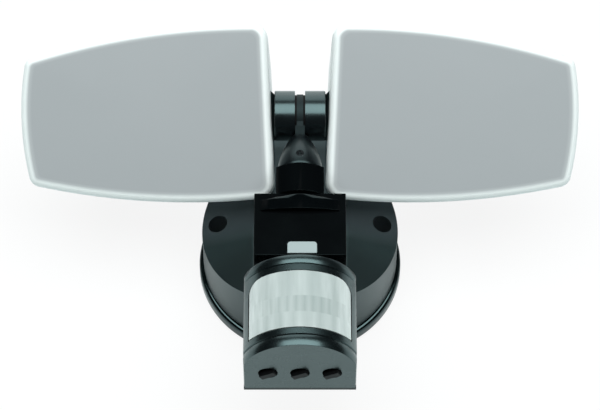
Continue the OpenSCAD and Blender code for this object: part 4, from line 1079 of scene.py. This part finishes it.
def case_bars(place, front, back, r, segments=48):
    """Bars at the four case screws, between two depths behind a head's face."""
    near = HEAD_IN + CORNER_IN + CASE_SCREW_IN
    far = HEAD_OUT - CORNER_OUT - CASE_SCREW_OUT
    near_b = HEAD_HH - CASE_SCREW_DROP_IN
    far_b = edge_height(HEAD_OUT) - CASE_SCREW_DROP_OUT
    bars = []
    for a, b in ((near, near_b), (near, -near_b), (far, far_b), (far, -far_b)):
        start, end = [(a, depth - FACE_AHEAD, b + HEAD_RISE) for depth in (front, back)]
        bars.append(bar(start, end, r, segments, place))
    return bars


def between(s, t):
    """Outline a share s of the way from a housing's front to its back, drawn in by t."""
    front, back = head_outline(HOUSING_STEP + t), back_outline(t)
    return [(a + (c - a) * s, b + (d - b) * s) for (a, b), (c, d) in zip(front, back)]


def under_pad(r, a, x):
    """A pad's point: its cone is filled out to the barrel's radius along the underside."""
    low = max(0.0, min(1.0, (-math.sin(a) - PAD_LOW) / PAD_LOW_SPAN))
    return along_x(r + low * (BARREL_R - r) if r > 1.0 else r, a, x)


def housing_shell(place):
    """Hollow housing: a straight band and a slope to a smaller back, with four screw wells."""
    rings = [at_depth(between(0, HOUSING_EDGE), HOUSING_FRONT),
             at_depth(between(0, 0), HOUSING_FRONT + HOUSING_EDGE),
             at_depth(between(0, 0), BAND_END - BAND_EASE)]
    for s in SLOPE_SHARES:
        ease = SLOPE_EASE if s < SLOPE_END or s > 1 - SLOPE_END else 0
        rings.append(at_depth(between(s, 0), BAND_END + (HOUSING_END - BAND_END) * s - ease))
    rings.append(at_depth(between(1.0, BACK_EDGE), HOUSING_END))
    shell = new_object("housing", *loft(rings), matrix=place)
    hollow = new_object("hollow", *loft([
        at_depth(between(0, HOUSING_WALL), HOUSING_FRONT - SHELL_CUT),
        at_depth(between(0, HOUSING_WALL), BAND_END),
        at_depth(between(1.0, HOUSING_WALL), HOUSING_END - HOUSING_WALL),
    ]), matrix=place)
    cut(hollow, *case_bars(place, CASE_POST_FRONT, CASE_POST_BACK, CASE_POST_R))
    cut(shell, hollow)
    cut(shell, *case_bars(place, WELL_FLOOR, WELL_BACK, WELL_R, segments=32))
    return soften(shell, 0.25, segments=2, angle=50)


def housing_fins(place):
    """Upright cooling fins on a housing's back, shorter towards its outer end."""
    fins = []
    first, last = BACK_IN + FIN_FIRST, BACK_OUT - FIN_LAST
    for i in range(FIN_COUNT):
        a = first + (last - first) * i / (FIN_COUNT - 1)
        share = (a - BACK_IN) / (BACK_OUT - BACK_IN)
        hh = BACK_HH_IN + (BACK_HH_OUT - BACK_HH_IN) * share - FIN_MARGIN
        rings = []
        for height, thick, short in FIN_RINGS:
            w, h = FIN_T / 2 * thick, hh - short
            upper = [(w, h - FIN_END), (w * 0.5, h), (-w * 0.5, h), (-w, h - FIN_END)]
            lower = [(-x, -z) for x, z in upper]
            y = HOUSING_END + height - FACE_AHEAD
            rings.append([(a + x, y, HEAD_RISE + z) for x, z in lower + upper])
        fins.append(new_object("fin", *loft(rings), matrix=place))
    return fins


def housing_pad(side, place):
    """Round pad that carries the barrel on a housing's inner end, cut off behind the diffuser."""
    middle = 0.3
    profile = [(middle, BARREL_END), (BARREL_R - PAD_CONE, BARREL_END), (BARREL_R, BARREL_END + PAD_CONE),
               (BARREL_R, BACK_IN + PAD_SINK), (middle, BACK_IN + PAD_SINK)]
    pad = new_object("pad", *lathe(profile, under_pad), matrix=pivot_matrix(side))
    reach, half = 30, 20
    front = block((0, -reach, -half), (reach, HOUSING_FRONT + PAD_FACE_GAP - FACE_AHEAD, half), matrix=place)
    return cut(pad, front)


def housing_piece(side, name):
    """Housing of a head with its cooling fins and barrel pad."""
    place = head_matrix(side)
    body = housing_shell(place)
    join(body, housing_fins(place) + [housing_pad(side, place)])
    dress(body, name + "_shell", name + "_head", BLACK, [name + "_housing"])


# Motion sensor

def sensor_form(levels, back=BODY_BACK):
    """A solid with straight sides and a round front, from (height, inset) levels."""
    rings = []
    for z, t in levels:
        hw = SENSOR_HW - t
        front = round_front(hw, SENSOR_R - t, SENSOR_D - SENSOR_R, SENSOR_STEPS)
        rings.append([(x, -d, z) for x, d in [(-hw, back)] + front + [(hw, back)]])
    return new_object("sensor", *loft(rings))


def rounded_window():
    """A bar through the sensor's front over the lens window's outline."""
    points = arch(LENS_HW, LENS_TOP, LENS_CORNER, WINDOW_STEPS)
    points += [(LENS_HW, LENS_BOTTOM), (-LENS_HW, LENS_BOTTOM)]
    ends = (WINDOW_BACK, WINDOW_FRONT)
    return new_object("window", *loft([[(x, -d, z) for x, z in points] for d in ends]))


def crowned(z0, z1):
    """Levels of a gently barrelled band of the sensor."""
    levels = []
    for i in range(SWELL_STEPS + 1):
        levels.append((z0 + (z1 - z0) * i / SWELL_STEPS, SWELL * (2 * i / SWELL_STEPS - 1) ** 2))
    return levels


def sensor_cap():
    """Top cap, bored for the pan stem."""
    cap = sensor_form(crowned(CASE_TOP, SENSOR_TOP))
    cut(cap, upright_bar(0, PAN_D, CASE_TOP - SENSOR_CUT, SENSOR_TOP + SENSOR_CUT, PAN_HOLE_R))
    soften(cap, 0.3, segments=2, angle=45)
    dress(cap, "sensor_cap", "sensor", SHELL, ["sensor_top"])


def sensor_body():
    """Hollow case with a groove under the cap and the lens window."""
    case = sensor_form([(CASE_BOTTOM, CASE_EDGE), (CASE_BOTTOM + CASE_EDGE, 0), (CASE_TOP - GROOVE_H, 0),
                        (CASE_TOP - GROOVE_H, GROOVE_DEPTH), (CASE_TOP, GROOVE_DEPTH)])
    ends = (CASE_BOTTOM - SHELL_CUT, CASE_TOP + SHELL_CUT)
    inner = sensor_form([(z, CASE_WALL) for z in ends], BODY_BACK - CUT)
    cut(case, inner, rounded_window())
    soften(case, 0.5, segments=3, angle=35)
    dress(case, "sensor_body", "sensor", SHELL, ["sensor_case"])


def sensor_bottom():
    """Bottom cap with three dial holes."""
    base = sensor_form(crowned(SENSOR_BOTTOM, CASE_BOTTOM))
    low, high = SENSOR_BOTTOM - SENSOR_CUT, CASE_BOTTOM + SENSOR_CUT
    holes = [upright_bar(i * DIAL_PITCH, DIAL_D, low, high, DIAL_HOLE_R) for i in (-1, 0, 1)]
    cut(base, *holes)
    soften(base, 0.35, segments=2, angle=45)
    dress(base, "sensor_bottom", "sensor", SHELL, ["sensor_base"])


def lenslet(x, share):
    """Places along and up a lenslet, and its number. share is the height up the lens."""
    angle = math.asin(max(-1.0, min(1.0, x / SENSOR_R)))
    span = math.asin(LENS_HW / SENSOR_R)
    row = 0 if share < LENS_TIERS[1] else 1 if share < LENS_TIERS[2] else 2
    up = (share - LENS_TIERS[row]) / (LENS_TIERS[row + 1] - LENS_TIERS[row])
    along = (angle + span) / (2 * span) * LENS_COLUMNS[row] + 0.5 * (row % 2)
    return along - math.floor(along), up, int(math.floor(along)) + 31 * row


def lens_points():
    """Front and back points of the lens, row by row from below, and the front's shades."""
    inner = SENSOR_R - CASE_WALL - LENS_BEHIND
    widest = LENS_HW - LENS_GAP
    low, high = LENS_BOTTOM + LENS_GAP, LENS_TOP - LENS_GAP
    corner_r = LENS_CORNER - LENS_GAP
    centre = SENSOR_D - SENSOR_R
    front, back, shades = [], [], []
    for j in range(LENS_ROWS + 1):
        share = j / LENS_ROWS
        z = low + (high - low) * share
        hw = widest
        if high - z < corner_r:
            hw = widest - corner_r + math.sqrt(max(0.0, corner_r ** 2 - (corner_r - (high - z)) ** 2))
        for i in range(LENS_STEPS + 1):
            x = hw * (2 * i / LENS_STEPS - 1)
            u, v, number = lenslet(x, share)
            dome = RIB_H * (1 - (2 * u - 1) ** 4) + TIER_H * (1 - (2 * v - 1) ** 8)
            r = SENSOR_R + LENS_PROUD + dome
            front.append((x, -(centre + math.sqrt(r * r - x * x)), z))
            back.append((x, -(centre + math.sqrt(inner * inner - x * x)), z))
            shade = SHADE_BASE + SHADE_CHANGE * math.sin(number * SHADE_STRIDE)
            shade += SHADE_MIDDLE * (1 - 2 * abs(2 * u - 1))
            # Painted light: the lens is painted lighter towards its ends.
            shades.append(shade + PAINTED_END_LIGHT * abs(x / widest) ** PAINTED_END_LIGHT_POWER)
    return front, back, shades


def lens_piece():
    """Ribbed lens: a curved panel of shallow lenslets in three tiers."""
    front, back, shades = lens_points()
    w = LENS_STEPS + 1
    n = len(front)
    faces = []
    for j in range(LENS_ROWS):
        for i in range(LENS_STEPS):
            k = j * w + i
            faces.append((k, k + 1, k + w + 1, k + w))
            faces.append((n + k, n + k + w, n + k + w + 1, n + k + 1))
    rim = list(range(w))
    rim += [j * w + w - 1 for j in range(1, LENS_ROWS + 1)]
    rim += [LENS_ROWS * w + i for i in range(w - 2, -1, -1)]
    rim += [j * w for j in range(LENS_ROWS - 1, 0, -1)]
    for a, b in zip(rim, rim[1:] + rim[:1]):
        faces.append((a, n + a, n + b, b))
    obj = new_object("lens", front + back, faces)
    set_points(obj, "lenslet", shades + shades)
    dress(obj, "ribbed_lens", "sensor", LENS, ["sensor_lens"], sharp=60)


# Small parts and the inside

def small_pieces():
    """Small parts that keep the CAD form, with edges rounded by a width."""
    pieces = [
        ("label_plate", 0.25, "pale_plate", "base", PALE, "pale_plate"),
        ("sensor_back", 0.5, "sensor_back_cover", "sensor", DULL, "black_shell"),
        ("sensor_knuckle", 0.5, "sensor_swivel", "sensor_joint", GRAPHITE, "graphite"),
        ("bell_screw", 0.15, "bell_screw_head", "post", BLACK_STEEL, "black_steel"),
    ]
    for dial in ("range_dial", "time_dial", "light_dial"):
        pieces.append((dial, 0.2, dial + "_knob", dial, DIAL, "graphite"))
    for node, width, name, body, material, slot in pieces:
        dress(from_node(node, width), name, body, material, [node])


def coat(name, material):
    data = NODES[name].data
    data.materials.clear()
    data.materials.append(material)


def carried_nodes():
    """Finishes for the CAD nodes that stay."""
    finishes = {
        RUBBER: ["base_seal", "cable_grommet", "swivel_washer"],
        STEEL: ["cover_screws", "arm_screws", "swivel_nut", "sensor_pin", "sensor_clip", "sensor_screws"],
        BRASS: ["terminal_screws"],
        NATURAL: ["terminal_block"],
        JACKET: ["supply_leads"],
        MASK: ["driver_board", "control_board", "detector_board"],
        VARNISH: ["driver_transformer"],
        SLEEVE: ["driver_capacitor"],
        RELAY: ["driver_relay"],
        TRIMMER: ["trimmers"],
        CAN: ["pyro_detector"],
        CELL: ["light_cell"],
    }
    head_finishes = {
        RUBBER: ["seal"],
        STEEL: ["pivot_nut", "knuckle_screws", "board_screws", "case_screws"],
        BOARD_METAL: ["led_board"],
        PHOSPHOR: ["leds"],
    }
    for material, names in finishes.items():
        for name in names:
            coat(name, material)
    for material, names in head_finishes.items():
        for name in names:
            for _, head in SIDES:
                coat(head + "_" + name, material)


base_cover()
arm_piece()
wall_plate()
neck_piece()
post_piece()
for side, name in SIDES:
    barrel(side, name)
    pivot_washer(side, name)
    diffuser_piece(side, name)
    housing_piece(side, name)
sensor_cap()
sensor_body()
sensor_bottom()
lens_piece()
small_pieces()
carried_nodes()


# Stage, light and camera, in metres

BACKDROP_HALF = 3.0
BACKDROP_GAP = 0.0015
PAPER_LIGHTEN = 0.88
CAMERA_PLACE = (0.0, -1.3171, -0.7809)
CAMERA_AIM = (0.0, 0.84805, 0.52992)


def paper_material():
    """White paper, clear from behind. The camera sees it lightened, with the shadows still on it."""
    s = Shader("wall_white")
    s.colour(s.mix(s.noise(3.0, 2.0), (0.84, 0.91, 0.91), (0.86, 0.93, 0.93)))
    s.set(Roughness=0.9, Specular_IOR_Level=0.1)
    glow = s.nodes.new("ShaderNodeEmission")
    path = s.nodes.new("ShaderNodeLightPath")
    lighten = s.nodes.new("ShaderNodeMixShader")
    s.links.new(s.ramp(path.outputs["Is Camera Ray"], 0.0, PAPER_LIGHTEN, 0.0, 1.0), lighten.inputs["Fac"])
    s.links.new(s.bsdf.outputs["BSDF"], lighten.inputs[1])
    s.links.new(glow.outputs["Emission"], lighten.inputs[2])
    geometry = s.nodes.new("ShaderNodeNewGeometry")
    clear = s.nodes.new("ShaderNodeBsdfTransparent")
    surface = s.nodes.new("ShaderNodeMixShader")
    s.links.new(geometry.outputs["Backfacing"], surface.inputs["Fac"])
    s.links.new(lighten.outputs["Shader"], surface.inputs[1])
    s.links.new(clear.outputs["BSDF"], surface.inputs[2])
    s.links.new(surface.outputs["Shader"], s.nodes["Material Output"].inputs["Surface"])
    return s.material


def backdrop():
    """A sheet of paper just behind the wall plate."""
    corners = [(x * BACKDROP_HALF, BACKDROP_GAP, z * BACKDROP_HALF)
               for x, z in ((-1, -1), (1, -1), (1, 1), (-1, 1))]
    mesh = bpy.data.meshes.new("backdrop")
    mesh.from_pydata(corners, [], [(0, 1, 2, 3)])
    obj = link("backdrop", mesh)
    mesh.materials.append(paper_material())


def facing(direction):
    """Angles that turn a lamp or camera to look along a direction."""
    return Vector(direction).to_track_quat("-Z", "Y").to_euler()


def area_light(name, place, aim, size, power, shape="RECTANGLE"):
    light = bpy.data.lights.new(name, "AREA")
    light.shape = shape
    light.size, light.size_y = size
    light.energy = power
    obj = link(name, light)
    obj.location = place
    obj.rotation_euler = facing(Vector(aim) - Vector(place))


def studio_world():
    """A dim grey world that the camera sees as white."""
    world = bpy.data.worlds.new("studio")
    bpy.context.scene.world = world
    world.use_nodes = True
    tree = world.node_tree
    dim = tree.nodes["Background"]
    dim.inputs["Color"].default_value = (0.55, 0.58, 0.60, 1)
    dim.inputs["Strength"].default_value = 0.06
    white = tree.nodes.new("ShaderNodeBackground")
    white.inputs["Color"].default_value = (1, 1, 1, 1)
    path = tree.nodes.new("ShaderNodeLightPath")
    choose = tree.nodes.new("ShaderNodeMixShader")
    tree.links.new(path.outputs["Is Camera Ray"], choose.inputs["Fac"])
    tree.links.new(dim.outputs["Background"], choose.inputs[1])
    tree.links.new(white.outputs["Background"], choose.inputs[2])
    tree.links.new(choose.outputs["Shader"], tree.nodes["World Output"].inputs["Surface"])


def add_camera():
    """A long lens that looks up from the front."""
    data = bpy.data.cameras.new("camera")
    data.sensor_width = 36.0
    data.lens = 158.4
    camera = link("camera", data)
    camera.location = CAMERA_PLACE
    camera.rotation_euler = facing(CAMERA_AIM)
    bpy.context.scene.camera = camera


backdrop()
area_light("front", place=(0.1, -2.2, 0.04), aim=(0.1, 0, 0.04), size=(3.0, 1.78), power=74)
area_light("overhead", place=(-0.15, -1.0, 1.7), aim=(-0.15, -1.0, 0), size=(2.0, 2.0), power=16,
           shape="ELLIPSE")
studio_world()
add_camera()
bpy.context.scene.view_settings.view_transform = "Standard"

bpy.context.view_layer.update()
